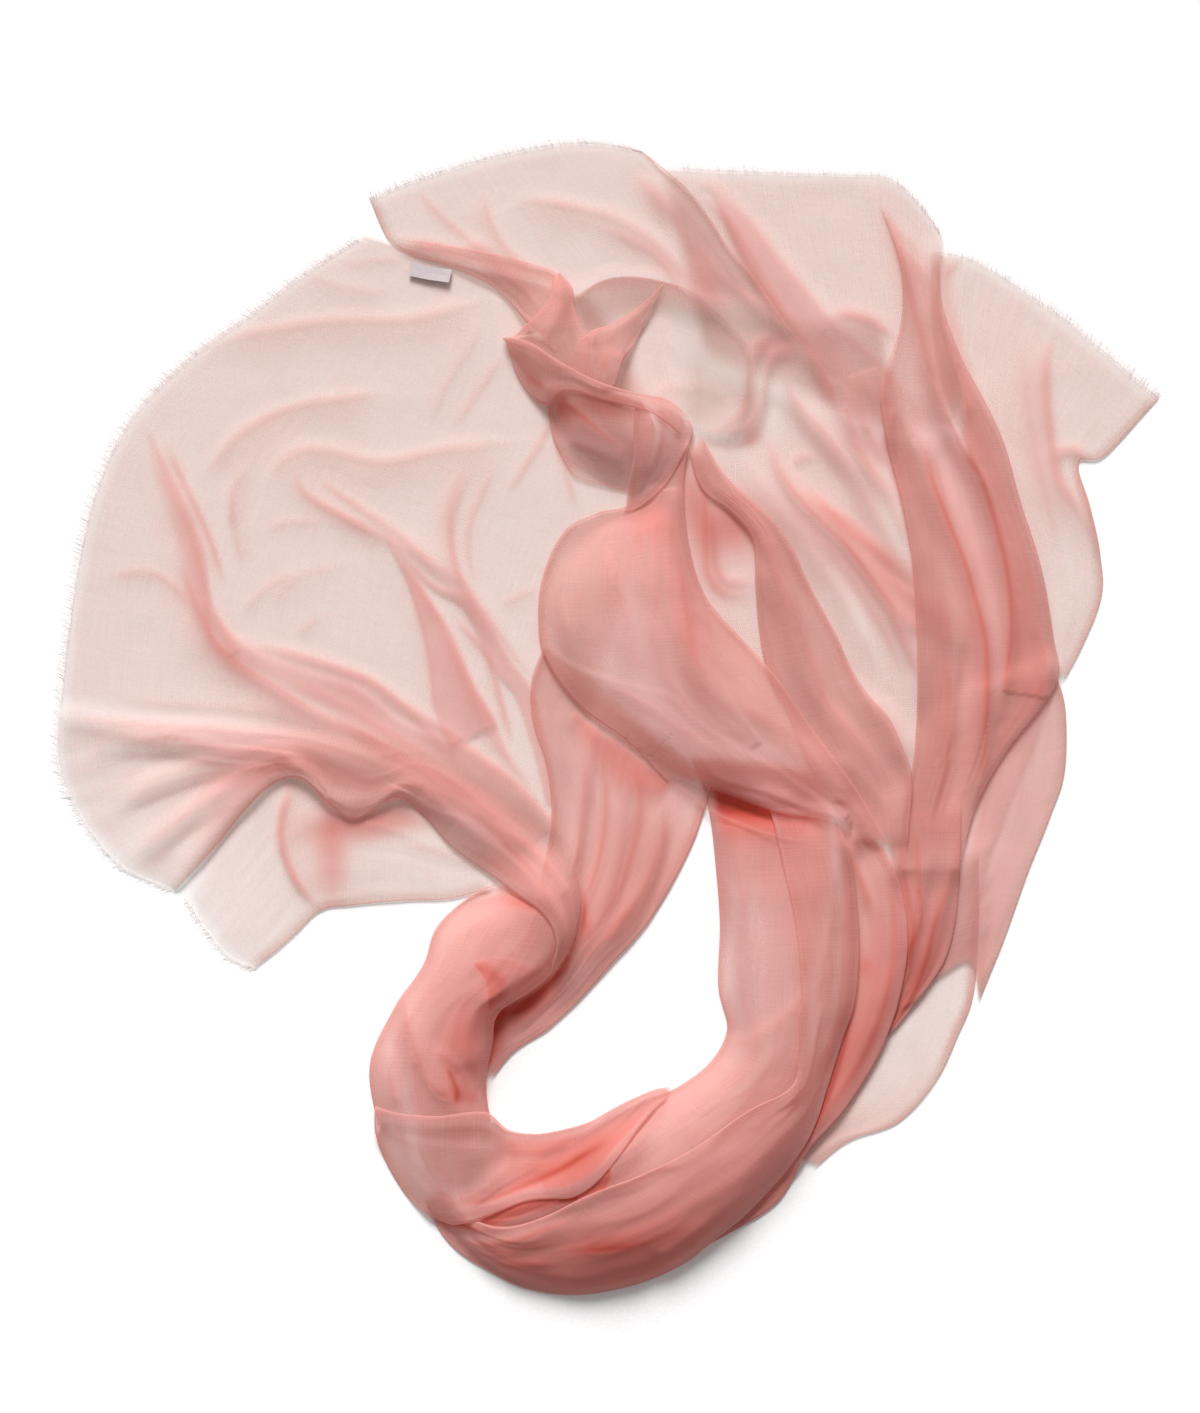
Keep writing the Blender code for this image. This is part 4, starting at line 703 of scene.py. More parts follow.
        (1.2, 3, 4, 9, [(660, 790), (662, 840), (640, 895), (600, 950)]),
    ],
    # the bubble and the knot
    "bubble": [
        (1.3, 4, 5, 12, [(604, 540), (612, 566), (620, 600), (630, 636)]),
        (0.9, 3, 5, 9, [(560, 590), (562, 612), (570, 634)]),
        (0.8, 3, 4, 10, [(640, 520), (640, 560), (643, 600)]),
        (1.2, 5, 3, 10, [(656, 497), (656, 540), (656, 576), (656, 610), (658, 640), (670, 681), (693, 713),
            (720, 733)]),
        (1.0, 3, 4, 9, [(678, 560), (684, 600), (690, 640), (704, 680)]),
        (1.0, 2, 3, 8, [(632, 760), (600, 733), (574, 708), (552, 676), (542, 640), (538, 600)]),
        (0.6, 3, 5, 9, [(575, 668), (615, 690), (660, 712), (700, 742), (740, 762)]),
    ],
    "knot_crown": [
        (1.2, 1, 2, 6, [(553, 286), (548, 302), (536, 318), (522, 334), (507, 340)]),
        (1.0, 1, 2, 6, [(570, 290), (573, 308), (582, 331), (590, 345), (596, 362)]),
        (0.8, 1, 2, 5, [(562, 300), (560, 325), (566, 350)]),
    ],
    "knot_wing": [
        (1.4, 1, 2, 12, [(625, 362), (612, 352), (604, 362), (604, 380)]),
        (0.7, 1, 2, 6, [(590, 350), (620, 330), (650, 302)]),
    ],
    "knot_band": [
        (1.6, 1, 2, 7, [(512, 356), (524, 372), (538, 384), (551, 392)]),
        (0.7, 1, 2, 5, [(560, 378), (584, 388), (612, 396), (645, 405)]),
    ],
    "knot_cup": [
        (2.2, 1, 2, 8, [(556, 395), (565, 404), (589, 423), (613, 443), (636, 454)]),
        (0.8, 1, 3, 8, [(558, 446), (580, 462), (606, 470), (634, 474)]),
        (1.5, 1, 3, 9, [(575, 394), (600, 402), (630, 408)]),
    ],
    "knot_tail": [
        (0.9, 1, 2, 7, [(650, 408), (648, 430), (640, 465), (634, 495)]),
        (0.9, 1, 2, 6, [(672, 415), (676, 440), (662, 472), (640, 500)]),
        (0.7, 1, 2, 5, [(662, 410), (663, 438), (652, 470)]),
    ],
    "knot_roll": [
        (0.6, 1, 2, 6, [(392, 242), (420, 248), (458, 258), (500, 272), (530, 292), (546, 318)]),
        (0.5, 1, 2, 6, [(480, 262), (512, 276), (536, 300), (550, 330)]),
    ],
}

# ---- bands of folded cloth ---------------------------------------------------------------------------------
# (plies, lift, near edge, far edge, path of (x, y, width)); a band lies to the right of its path, and its
# two edges are as crisp as their widths are small
BANDS = {
    # the left end: the wedge, and the long folds towards the neck
    "left_spread": [
        (1.2, 1.0, 2, 3, [(450, 745, 52), (435, 710, 50), (426, 645, 25), (409, 586, 12), (385, 535, 0)]),
        (1.1, 1.0, 2, 3, [(385, 530, 0), (432, 580, 6), (474, 598, 14), (509, 656, 20), (532, 690, 18),
            (548, 750, 14), (556, 800, 10)]),
        (1.0, 1.5, 2, 8, [(206, 600, 0), (244, 642, 12), (303, 668, 22), (356, 686, 32), (403, 721, 40),
            (462, 745, 46), (515, 780, 46), (550, 827, 40)]),
        (1.0, 1.0, 3, 10, [(150, 430, 0), (170, 470, 12), (190, 510, 18), (204, 550, 20), (212, 600, 18),
            (240, 650, 12)]),
    ],
    # the top: the double band that crosses behind the flap
    "top_back": [
        (0.9, 2.0, 2, 13, [(880, 400, 0), (819, 363, 24), (805, 343, 30), (788, 324, 32), (771, 300, 32),
            (754, 275, 30), (737, 244, 26), (713, 193, 8), (700, 186, 0)]),
        (0.8, 1.5, 2, 3, [(940, 414, 24), (932, 376, 24), (916, 318, 26), (906, 277, 24), (897, 240, 0)]),
    ],
    "right_corner": [
        (0.6, 1.0, 3, 8, [(978, 458, 8), (967, 421, 14), (957, 385, 18), (945, 344, 18), (938, 293, 14),
            (939, 250, 10)]),
    ],
    # the fan
    "fan_middle": [
        (1.6, 1.0, 2, 6, [(1000, 690, 24), (960, 652, 34), (930, 634, 38), (905, 624, 38), (885, 598, 38),
            (868, 575, 36), (850, 552, 28), (835, 530, 20), (818, 512, 10), (800, 495, 2)]),
        (0.8, 1.0, 2, 4, [(900, 500, 20), (885, 460, 30), (875, 445, 34), (865, 430, 36), (855, 400, 38),
            (848, 378, 32)]),
    ],
    "fan_outer": [
        (2.1, 1.5, 2, 6, [(1002, 690, 48), (1008, 650, 42), (1010, 620, 38), (1008, 590, 37),
            (1003, 560, 33), (998, 540, 33), (990, 510, 32), (980, 480, 32), (968, 455, 34), (966, 420, 28),
            (962, 385, 18), (955, 360, 12), (945, 330, 5)]),
    ],
    # the bubble: the lit band that sweeps round it, its thick right border and its deep lower side
    "bubble": [
        (0.3, 2.5, 5, 3, [(547, 645, 26), (579, 667, 40), (634, 685, 60), (670, 695, 66), (693, 717, 56),
            (734, 745, 40), (775, 767, 30), (815, 795, 18), (847, 813, 8)]),
        (1.2, 2.0, 4, 8, [(678, 490, 18), (681, 531, 22), (692, 575, 28), (706, 615, 36), (714, 660, 36),
            (734, 704, 26), (760, 740, 14)]),
        (3.6, 0.5, 2, 6, [(706, 594, 6), (693, 570, 16), (684, 540, 20), (680, 500, 18), (678, 455, 10)]),
        (-6.0, 0, 10, 2, [(655, 782, 2), (672, 782, 12), (690, 784, 24), (720, 794, 34), (775, 813, 34),
            (820, 820, 34), (850, 824, 30)]),
    ],
    "inner_strand": [
        # painted shade under the bubble's lower part
        (2.6, 0.5, 10, 30, [(690, 776, 20), (712, 778, 40), (745, 782, 48), (780, 788, 46),
            (812, 796, 30)]),
        # painted shade in a deep pocket at the cuff's end
        (5.5, 0.5, 2, 4, [(560, 1192, 4), (580, 1185, 12), (595, 1178, 16), (608, 1166, 6)]),
    ],
    # the left gather
    "left_gather": [
        (1.5, 1.5, 3, 8, [(60, 712, 2), (100, 716, 6), (150, 721, 10), (200, 723, 16), (240, 726, 20),
            (299, 731, 26), (336, 734, 42), (370, 745, 46), (400, 756, 42), (430, 770, 36), (470, 795, 30),
            (510, 828, 24), (545, 856, 20), (569, 887, 12)]),
    ],
    # the loop: painted shade in the slits, valleys and pockets between its stretches, and painted shadow
    # beside and under the edges that overhang
    "cuff": [
        (3.0, 0.5, 3, 12, [(655, 1106, 4), (635, 1126, 12), (615, 1146, 20), (595, 1168, 22),
            (572, 1182, 16), (545, 1188, 5)]),
    ],
    "back_strand": [
        (3.4, 0.5, 2, 14, [(575, 712, 6), (600, 732, 20), (625, 748, 28), (650, 768, 28), (668, 782, 16)]),
    ],
    "left_rope": [
        (2.2, 0.5, 3, 16, [(472, 966, 2), (486, 958, 10), (505, 957, 16), (527, 963, 14), (550, 972, 4)]),
    ],
    "left_rope back_strand": [
        (4.0, 0.5, 2, 8, [(487, 1107, 4), (487, 1073, 6), (492, 1047, 9), (490, 1010, 14), (487, 983, 20),
            (475, 963, 6)]),
        (3.5, 0.5, 2, 6, [(492, 1013, 8), (527, 996, 12), (553, 976, 10), (566, 955, 6)]),
    ],
    "outer_strand inner_strand": [
        (5.0, 0.5, 3, 5, [(430, 1214, 8), (455, 1217, 10), (485, 1214, 12), (510, 1203, 14),
            (545, 1194, 12), (575, 1190, 8)]),
    ],
    # the right outer side
    "outer_fold": [
        (0.7, 1.0, 3, 8, [(1050, 690, 60), (1035, 740, 60), (1010, 800, 40), (985, 870, 20),
            (972, 940, 0)]),
    ],
}

# ---- pools where more plies lie together, or fewer; some are painted shade, as marked ----------------------
# (plies, x, y, half width, half height, turn in degrees)
POOLS = {
    "top_flap": [
        (0.8, 660, 200, 30, 12, 42),
        (1.2, 706, 280, 12, 34, -20),
        (0.6, 505, 272, 30, 14, 35),
    ],
    "middle_sheet": [
        (0.6, 700, 300, 20, 12, 40),
    ],
    "left_spread": [
        (0.9, 235, 655, 26, 13, 40),
        (0.6, 365, 695, 34, 14, 30),
    ],
    "inner_strand": [
        # painted shade under the bubble's lower part
        (2.0, 752, 808, 54, 18, 12),
        (1.2, 783, 922, 18, 14, 0),
        (0.8, 778, 893, 20, 8, 0),
    ],
    "fan_middle": [
        (2.6, 694, 505, 12, 44, -12),
        (3.2, 730, 524, 26, 26, -40),
        (1.8, 776, 346, 26, 12, 5),
        (1.4, 826, 384, 8, 20, -30),
        (1.4, 750, 434, 9, 10, 0),
        (-0.7, 880, 428, 7, 18, -15),
        (-0.5, 893, 530, 12, 34, -15),
        (-0.5, 860, 620, 12, 40, -30),
        (-0.6, 772, 722, 22, 8, 30),
    ],
    "second_leaf": [
        (1.8, 865, 966, 8, 11, 0),
    ],
    "lower_lobe": [
        (1.7, 331, 850, 14, 44, 0),
        # painted shade under the ridge of the gather above
        (3.0, 366, 822, 50, 14, -8),
    ],
    "left_gather": [
        (2.0, 275, 770, 40, 16, -20),
        (-1.8, 466, 832, 36, 14, 38),
        (2.8, 508, 876, 36, 9, 38),
        # painted shade where the gather's edge meets the lobe
        (2.0, 290, 793, 26, 10, -20),
    ],
    "bubble": [
        (2.6, 648, 520, 22, 26, 0),
        (1.2, 572, 612, 7, 24, 10),
        (1.2, 690, 640, 12, 26, -12),
    ],
    "knot_cup": [
        (2.5, 562, 412, 8, 14, -20),
        (1.5, 610, 412, 30, 9, 10),
    ],
    "knot_wing": [
        (1.6, 606, 366, 10, 14, 10),
    ],
    "knot_band": [
        (2.0, 534, 386, 14, 10, 40),
    ],
    "fan_strand": [
        (-0.6, 772, 690, 22, 50, -25),
    ],
    "fan_outer": [
        (-1.2, 991, 738, 5, 32, 12),
        (-0.7, 957, 415, 8, 24, -20),
        (1.2, 1030, 712, 26, 12, -40),
        (0.9, 965, 628, 20, 14, 30),
    ],
    "outer_strand": [
        # this pool and the next are painted shade on the loop's lower side, which faces away from the light
        (2.2, 600, 1244, 44, 13, -3),
        (1.4, 522, 1262, 36, 8, 12),
    ],
    "left_rope": [
        (2.6, 464, 1040, 24, 36, 0),
        (3.4, 464, 1094, 24, 10, 12),
        # painted shadow under the edge of the gather
        (3.5, 526, 903, 26, 8, 15),
    ],
    "cuff": [
        # painted shade in the valley above the cuff's lower lip
        (2.2, 540, 1174, 42, 11, -20),
    ],
    "back_strand": [
        (-2.0, 552, 950, 22, 38, 25),
        # this pool and the next are painted shadow beside the rope's rolled edge
        (4.0, 525, 1010, 34, 9, -32),
        (3.0, 586, 922, 5, 18, 0),
    ],
}

# ---- the frayed ends ---------------------------------------------------------------------------------------
# (fringe, stretch, which of its edges frays, and the share of the edge at which that starts and ends)
FRAYED = [
    ("fringe_spread", "left_spread", "a", 0.01, 0.985),
    ("fringe_gather", "left_gather", "f", 0.06, 0.93),
    ("fringe_lobe", "lower_lobe", "f", 0.10, 0.97),
    ("fringe_flap", "top_flap", "a", 0.02, 0.99),
    ("fringe_back", "top_back", "a", 0.08, 0.97),
    ("fringe_corner", "right_corner", "f", 0.06, 0.985),
]

LAYING_ORDER = ["loop_heart", "neck_heart", "lower_lobe", "left_spread", "pale_lobe", "outer_fold",
                "right_corner", "top_back", "fan_middle", "middle_sheet", "fan_outer", "care_label",
                "top_flap", "third_leaf", "inner_strand", "second_leaf", "outer_strand", "back_strand",
                "fan_strand", "bubble_heart", "bubble", "left_rope", "cuff", "left_gather", "knot_heart",
                "knot_roll", "knot_cup", "knot_tail", "knot_crown", "knot_wing", "knot_band"]


# ---- curves and plan grids ------------------------------------------------------------------------
def in_metres(x, y, height):
    """A plan point and a height, as the frame's own x, y and z."""
    return (x - PLAN_CENTRE[0]) * MM, (PLAN_CENTRE[1] - y) * MM, height * MM


def smooth_curve(points, steps_each=12):
    """A dense smooth curve through plan points."""
    pts = np.asarray(points, dtype=float)
    if len(pts) == 2:
        share = np.linspace(0.0, 1.0, steps_each + 1)[:, None]
        return pts[0] + (pts[1] - pts[0]) * share
    before = np.vstack([2.0 * pts[0] - pts[1], pts[:-1]])
    after = np.vstack([pts[1:], 2.0 * pts[-1] - pts[-2]])
    slope = (after - before) * 0.5
    rows = []
    for k in range(len(pts) - 1):
        t = np.arange(steps_each)[:, None] / steps_each
        rows.append((2 * t**3 - 3 * t**2 + 1) * pts[k] + (t**3 - 2 * t**2 + t) * slope[k]
                    + (-2 * t**3 + 3 * t**2) * pts[k + 1] + (t**3 - t**2) * slope[k + 1])
    rows.append(pts[-1:])
    return np.vstack(rows)


def run_length(curve):
    """Distance along a curve at each of its points."""
    steps = np.linalg.norm(np.diff(curve, axis=0), axis=1)
    return np.concatenate([[0.0], np.cumsum(steps)])


def at_lengths(at, length, curve):
    """Points of a curve at distances along it."""
    return np.stack([np.interp(at, length, curve[:, axis]) for axis in range(2)], axis=-1)


def end_shift(corner_a, corner_b, middle, count):
    """How far a curved end leaves the straight line between its two corners."""
    straight = np.linspace(0.0, 1.0, count + 1)[:, None]
    line = np.asarray(corner_a) + (np.asarray(corner_b) - np.asarray(corner_a)) * straight
    if not middle:
        return np.zeros_like(line)
    curve = smooth_curve([corner_a, *middle, corner_b])
    length = run_length(curve)
    return at_lengths(np.linspace(0.0, length[-1], count + 1), length, curve) - line


def plan_grid(stretch):
    """Plan points of a stretch: rows run along its sections, columns from edge a to edge b."""
    table = np.asarray(stretch["sections"], dtype=float)
    edge_a = smooth_curve(table[:, :2])
    edge_b = smooth_curve(table[:, 2:4])
    length = 0.5 * (run_length(edge_a) + run_length(edge_b))
    width = np.linalg.norm(edge_a - edge_b, axis=1)
    cell = stretch.get("cell", CELL)
    rows = BLOCK * math.ceil(length[-1] / cell / BLOCK)
    cols = BLOCK * math.ceil(np.percentile(width, 80) / cell / BLOCK)
    at = np.linspace(0.0, length[-1], rows + 1)
    a = at_lengths(at, length, edge_a)
    b = at_lengths(at, length, edge_b)
    across = np.linspace(0.0, 1.0, cols + 1)[None, :, None]
    along = np.linspace(0.0, 1.0, rows + 1)[:, None, None]
    grid = a[:, None, :] * (1.0 - across) + b[:, None, :] * across
    first = end_shift(a[0], b[0], stretch.get("first_end"), cols)
    last = end_shift(a[-1], b[-1], stretch.get("last_end"), cols)
    return grid + (1.0 - along) ** END_FADE * first[None] + along**END_FADE * last[None]


def ease(share):
    """A smooth step from 0 to 1."""
    share = np.clip(share, 0.0, 1.0)
    return share * share * (3.0 - 2.0 * share)


def soft_noise(u, v, seed):
    """Smooth noise from 0 to 1 on a lattice with one unit between its points."""
    table = np.random.default_rng(seed).random((64, 64))
    iu, iv = np.floor(u).astype(int), np.floor(v).astype(int)
    fu, fv = u - iu, v - iv
    fu, fv = fu * fu * (3 - 2 * fu), fv * fv * (3 - 2 * fv)
    p, q = table[iv % 64, iu % 64], table[iv % 64, (iu + 1) % 64]
    r, s = table[(iv + 1) % 64, iu % 64], table[(iv + 1) % 64, (iu + 1) % 64]
    return (p * (1 - fu) + q * fu) * (1 - fv) + (r * (1 - fu) + s * fu) * fv


# ---- folds ------------------------------------------------------------------------------------------
def rows_for(table, name):
    """The rows of a table whose key names a stretch."""
    return [row for names, rows in table.items() if name in names.split() for row in rows]


def beside_path(plan, path, reach):
    """Plan points near a path, with their distance from it, their side (right is positive) and place."""
    curve = smooth_curve([point[:2] for point in path], 8)
    low, high = curve.min(axis=0) - reach, curve.max(axis=0) + reach
    near = ((plan > low) & (plan < high)).all(axis=-1)
    xy = plan[near]
    length = run_length(curve)
    best = np.full(len(xy), np.inf)
    side, at = np.zeros(len(xy)), np.zeros(len(xy))
    for k in range(len(curve) - 1):
        start, step = curve[k], curve[k + 1] - curve[k]
        size = math.hypot(*step)
        share = np.clip(((xy - start) @ step) / size**2, 0.0, 1.0)
        away = xy - (start + share[:, None] * step)
        distance = np.hypot(away[:, 0], away[:, 1])
        nearer = distance < best
        best = np.where(nearer, distance, best)
        side = np.where(nearer, (step[0] * away[:, 1] - step[1] * away[:, 0]) / size, side)
        at = np.where(nearer, length[k] + share * size, at)
    return near, best, side, at, length


def add_fold(plan, fold, height, plies_and_shade):
    """One fold: a ridge in height and the plies it gathers; steep on its left."""
    gain, rise, steep, soft, path = fold
    near, best, side, at, length = beside_path(plan, path, FOLD_REACH * max(steep, soft, LEAST_SOFT))
    if not near.any():
        return
    along = at / length[-1]
    fade = ease(np.minimum(along, 1.0 - along) / FOLD_FADE)
    right = side > 0.0
    ridge = np.exp(-(best / np.where(right, max(soft, LEAST_SOFT), max(steep, LEAST_STEEP))) ** 2)
    ridge = ridge * (RIDGE_END + (1.0 - RIDGE_END) * fade)
    already = height[near]
    height[near] = already + rise * ridge * (1.0 - PILED_LOSS * (already > PILED))
    line = np.exp(-(best / np.where(right, LINE_SOFT, LINE_STEEP)) ** 2)
    shade = np.exp(-(best / np.where(right, soft, SHADE_STEEP)) ** 1.5)
    plies_and_shade[near] += gain * (LINE_SHARE * line + SHADE_SHARE * shade) * fade


def add_band(plan, band, height, plies_and_shade):
    """A band of folded cloth on the right of its path: its lift and its plies."""
    gain, lift, near_edge, far_edge, path = band
    reach = max(point[2] for point in path) + BAND_MARGIN
    near, best, side, at, length = beside_path(plan, path, reach)
    if not near.any():
        return
    width = np.interp(at, length[::8], [point[2] for point in path])
    # past an end of the path a point is farther from it than its side says, and the band stops there
    ends = ease(2.0 + 0.5 * (side * side - best * best))
    inside = ease(0.5 + side / (2.0 * near_edge)) * ease(0.5 + (width - side) / (2.0 * far_edge)) * ends
    plies_and_shade[near] += gain * inside
    raised = ease(0.5 + side / BAND_RISE) * ease(0.5 + (width - side) / max(BAND_RISE, 2.0 * far_edge))
    height[near] += lift * (raised * ends)


def add_folds(name, plan, height, plies_and_shade, relief):
    """All the folds, creases and bands of one stretch."""
    for rise, *shape in FOLDS.get(name, []):
        add_fold(plan, (FOLD_PLIES * rise, relief * rise, *shape), height, plies_and_shade)
    for gain, rise, *shape in rows_for(CREASES, name):
        add_fold(plan, (gain, relief * rise, *shape), height, plies_and_shade)
    for band in rows_for(BANDS, name):
        add_band(plan, band, height, plies_and_shade)


def gathers(stretch, plan, seed):
    """Fine ridges that run along a stretch: their height and plies."""
    ridges, rise, gain = stretch.get("gather", (0, 0, 0))
    if not ridges:
        return 0.0, 0.0
    rows, cols = plan.shape[:2]
    u = np.linspace(0.0, 1.0, cols)[None, :] * np.ones((rows, 1))
    v = run_length(plan[:, cols // 2])[:, None] * np.ones((1, cols))
    # the ridges wander to the sides as they run, and finer ones lie between them
    drift = 1.6 * (soft_noise(v / 150.0, v * 0.0, seed) - 0.5) + 0.8 * soft_noise(v / 60.0, u * 2.0, seed + 1)
    coarse = soft_noise(u * ridges + drift, v / 130.0, seed + 2)
    fine = soft_noise(u * ridges * 2.7 + 2.0 * drift, v / 80.0, seed + 3)
    crest = 1.0 - np.abs(2.0 * coarse - 1.0)
    crest_fine = 1.0 - np.abs(2.0 * fine - 1.0)
    height = rise * (1.6 * crest**1.5 + 0.6 * crest_fine)
    more = gain * (crest_fine**2 + 1.2 * coarse - 0.6)
    return height, more


def add_pools(name, plan, plies_and_shade):
    """Pools of more plies or fewer, each a soft turned ellipse."""
    for change, px, py, half_w, half_h, turn in rows_for(POOLS, name):
        c, s = math.cos(math.radians(turn)), math.sin(math.radians(turn))
        x, y = plan[..., 0] - px, plan[..., 1] - py
        du = (x * c + y * s) / half_w
        dv = (-x * s + y * c) / half_h
        plies_and_shade = plies_and_shade + change * np.exp(-(du * du + dv * dv))
    return plies_and_shade


# ---- the bed: what is already laid --------------------------------------------------------------------
class Bed:
    """The height of what is already laid, sampled all over the plan."""

    def __init__(self):
        self.nx = int((PLAN_HIGH[0] - PLAN_LOW[0]) / RASTER) + 1
        self.ny = int((PLAN_HIGH[1] - PLAN_LOW[1]) / RASTER) + 1
        self.top = np.zeros((self.ny, self.nx))

    def cells(self, xy):
        """The raster cell of each plan point."""
        i = np.clip(np.rint((xy[..., 0] - PLAN_LOW[0]) / RASTER).astype(int), 1, self.nx - 2)
        j = np.clip(np.rint((xy[..., 1] - PLAN_LOW[1]) / RASTER).astype(int), 1, self.ny - 2)
        return j, i

    def under(self, xy):
        """The highest point of what is laid near each plan point."""
        j, i = self.cells(xy)
        found = self.top[j, i]
        for dj, di in ((-1, 0), (1, 0), (0, -1), (0, 1)):
            found = np.maximum(found, self.top[j + dj, i + di])
        return found

    def cover(self, xy, z):
        """Take a laid sheet into the bed, filled in between its points."""
        shares = (0.0, 0.33, 0.67, 1.0)
        for a in shares:
            wide = xy[:-1] * (1 - a) + xy[1:] * a
            tall = z[:-1] * (1 - a) + z[1:] * a
            for b in shares:
                spot = wide[:, :-1] * (1 - b) + wide[:, 1:] * b
                level = tall[:, :-1] * (1 - b) + tall[:, 1:] * b
                np.maximum.at(self.top, self.cells(spot), level)


def even_out(z):
    """Half-way to the mean of the neighbours, the edges along themselves."""
    mean = z.copy()
    mean[1:-1, 1:-1] = 0.25 * (z[:-2, 1:-1] + z[2:, 1:-1] + z[1:-1, :-2] + z[1:-1, 2:])
    mean[0, 1:-1] = 0.5 * (z[0, :-2] + z[0, 2:])
    mean[-1, 1:-1] = 0.5 * (z[-1, :-2] + z[-1, 2:])
    mean[1:-1, 0] = 0.5 * (z[:-2, 0] + z[2:, 0])
    mean[1:-1, -1] = 0.5 * (z[:-2, -1] + z[2:, -1])
    return 0.5 * (z + mean)


def settle(floor):
    """Heights of a sheet that has settled on the floor under it: stiff over hollows, never below."""
    reach = BLOCK // 2
    padded = np.pad(floor, reach, mode="edge")
    rows, cols = floor.shape
    block = floor.copy()
    for i in range(2 * reach + 1):
        for j in range(2 * reach + 1):
            block = np.maximum(block, padded[i:i + rows, j:j + cols])
    block = block[::BLOCK, ::BLOCK]
    z = block.copy()
    for _ in range(COARSE_ROUNDS):
        z = np.maximum(even_out(z) - SAG, block)
    at_rows, at_cols = np.arange(rows) / BLOCK, np.arange(cols) / BLOCK
    known_rows, known_cols = np.arange(z.shape[0]), np.arange(z.shape[1])
    wide = np.stack([np.interp(at_rows, known_rows, column) for column in z.T], axis=1)
    fine = np.stack([np.interp(at_cols, known_cols, row) for row in wide], axis=0)
    for _ in range(FINE_ROUNDS):
        fine = np.maximum(even_out(fine), floor)
    return fine


# ---- edges ----------------------------------------------------------------------------------------------
def from_edge(plan, edge):
    """Distance over the sheet from one of its edges: a and b are its sides, f and l its ends."""
    axis = 0 if edge in "fl" else 1
    steps = np.linalg.norm(np.diff(plan, axis=axis), axis=-1)
    away = np.cumsum(steps, axis=axis)
    away = np.concatenate([np.zeros_like(np.take(away, [0], axis=axis)), away], axis=axis)
    if edge in "lb":
        away = np.take(away, [-1], axis=axis) - away
    return away


def thin_edges(name, stretch, plan, plies_and_shade):
    """Fewer plies where an edge rolls under, where a stretch goes on beneath another, and at a frayed hem."""
    for edge in stretch["turned"]:
        least = stretch.get("edge", EDGE_PLIES)
        thin = least / np.maximum(plies_and_shade, least)
        away = from_edge(plan, edge)
        plies_and_shade = plies_and_shade * (1.0 - (1.0 - thin) * np.exp(-(away / EDGE_REACH) ** 2))
        plies_and_shade = plies_and_shade + EDGE_LINE * np.exp(-(away / BRINK) ** 2)
    mask = np.ones(plan.shape[:2])
    for edge, reach in stretch["fades"].items():
        mask *= ease(from_edge(plan, edge) / reach)
    plies_and_shade = plies_and_shade * mask
    for _, frayed, edge, _, _ in FRAYED:
        if frayed == name:
            plies_and_shade = plies_and_shade * (HEM_PLIES + (1.0 - HEM_PLIES) * ease(from_edge(plan, edge) / HEM_REACH))
    return plies_and_shade


def turn_under(plan, z, plies_and_shade, bed):
    """Extra columns past the last one: the edge rolls down and a little way back underneath."""
    edge, inside = plan[:, -1], plan[:, -4]
    inward = inside - edge
    step = float(np.median(np.linalg.norm(plan[:, -1] - plan[:, -2], axis=1)))
    inward /= np.maximum(np.linalg.norm(inward, axis=1, keepdims=True), 1e-6)
    drop = np.maximum(z[:, -1] - bed.under(edge) - UNDER_GAP, LEAST_DROP)
    for _ in range(6):
        drop[1:-1] = 0.25 * drop[:-2] + 0.5 * drop[1:-1] + 0.25 * drop[2:]
        inward[1:-1] = 0.25 * inward[:-2] + 0.5 * inward[1:-1] + 0.25 * inward[2:]
    bulge = np.clip(0.3 * drop, 0.3, 4.0)
    new_plan, new_z, new_plies = [plan], [z], [plies_and_shade]
    for out, down, kept in ROLL:
        new_plan.append((edge - inward * (bulge * out)[:, None])[:, None])
        new_z.append((z[:, -1] - drop * down)[:, None])
        new_plies.append((plies_and_shade[:, -1] * kept)[:, None])
    for back, kept in RETURN:
        spot = edge + inward * back
        new_plan.append(spot[:, None])
        column = min(math.ceil(back / step) + 1, plan.shape[1] - 1)
        level = np.minimum(bed.under(spot) + UNDER_GAP, z[:, -column] - 0.4)
        new_z.append(level[:, None])
        new_plies.append((plies_and_shade[:, -1] * kept)[:, None])
    return np.concatenate(new_plan, axis=1), np.concatenate(new_z, axis=1), np.concatenate(new_plies, axis=1)


def turn_edges(turned, plan, z, plies_and_shade, bed):
    """Roll the named edges of a sheet under."""
    sheet = [plan, z, plies_and_shade]
    for edge in turned:
        if edge in "fl":
            sheet = [values.swapaxes(0, 1) for values in sheet]
        if edge in "af":
            sheet = [values[:, ::-1] for values in sheet]
        sheet = turn_under(*sheet, bed)
        if edge in "af":
            sheet = [values[:, ::-1] for values in sheet]
        if edge in "fl":
            sheet = [values.swapaxes(0, 1) for values in sheet]
    return sheet


# ---- one sheet ----------------------------------------------------------------------------------------
def base_plies(values, rows, cols):
    """Plies over a stretch from one number, or from one number or (edge a, edge b) for each section."""
    if not isinstance(values, list):
        return np.full((rows, cols), float(values))
    pairs = [value if isinstance(value, tuple) else (value, value) for value in values]
    pairs = np.asarray(pairs, dtype=float)
    at = np.linspace(0.0, len(pairs) - 1.0, rows)
    a, b = (np.interp(at, np.arange(len(pairs)), pairs[:, k])[:, None] for k in range(2))
    across = ease(np.linspace(0.0, 1.0, cols))[None, :]
    return a * (1.0 - across) + b * across


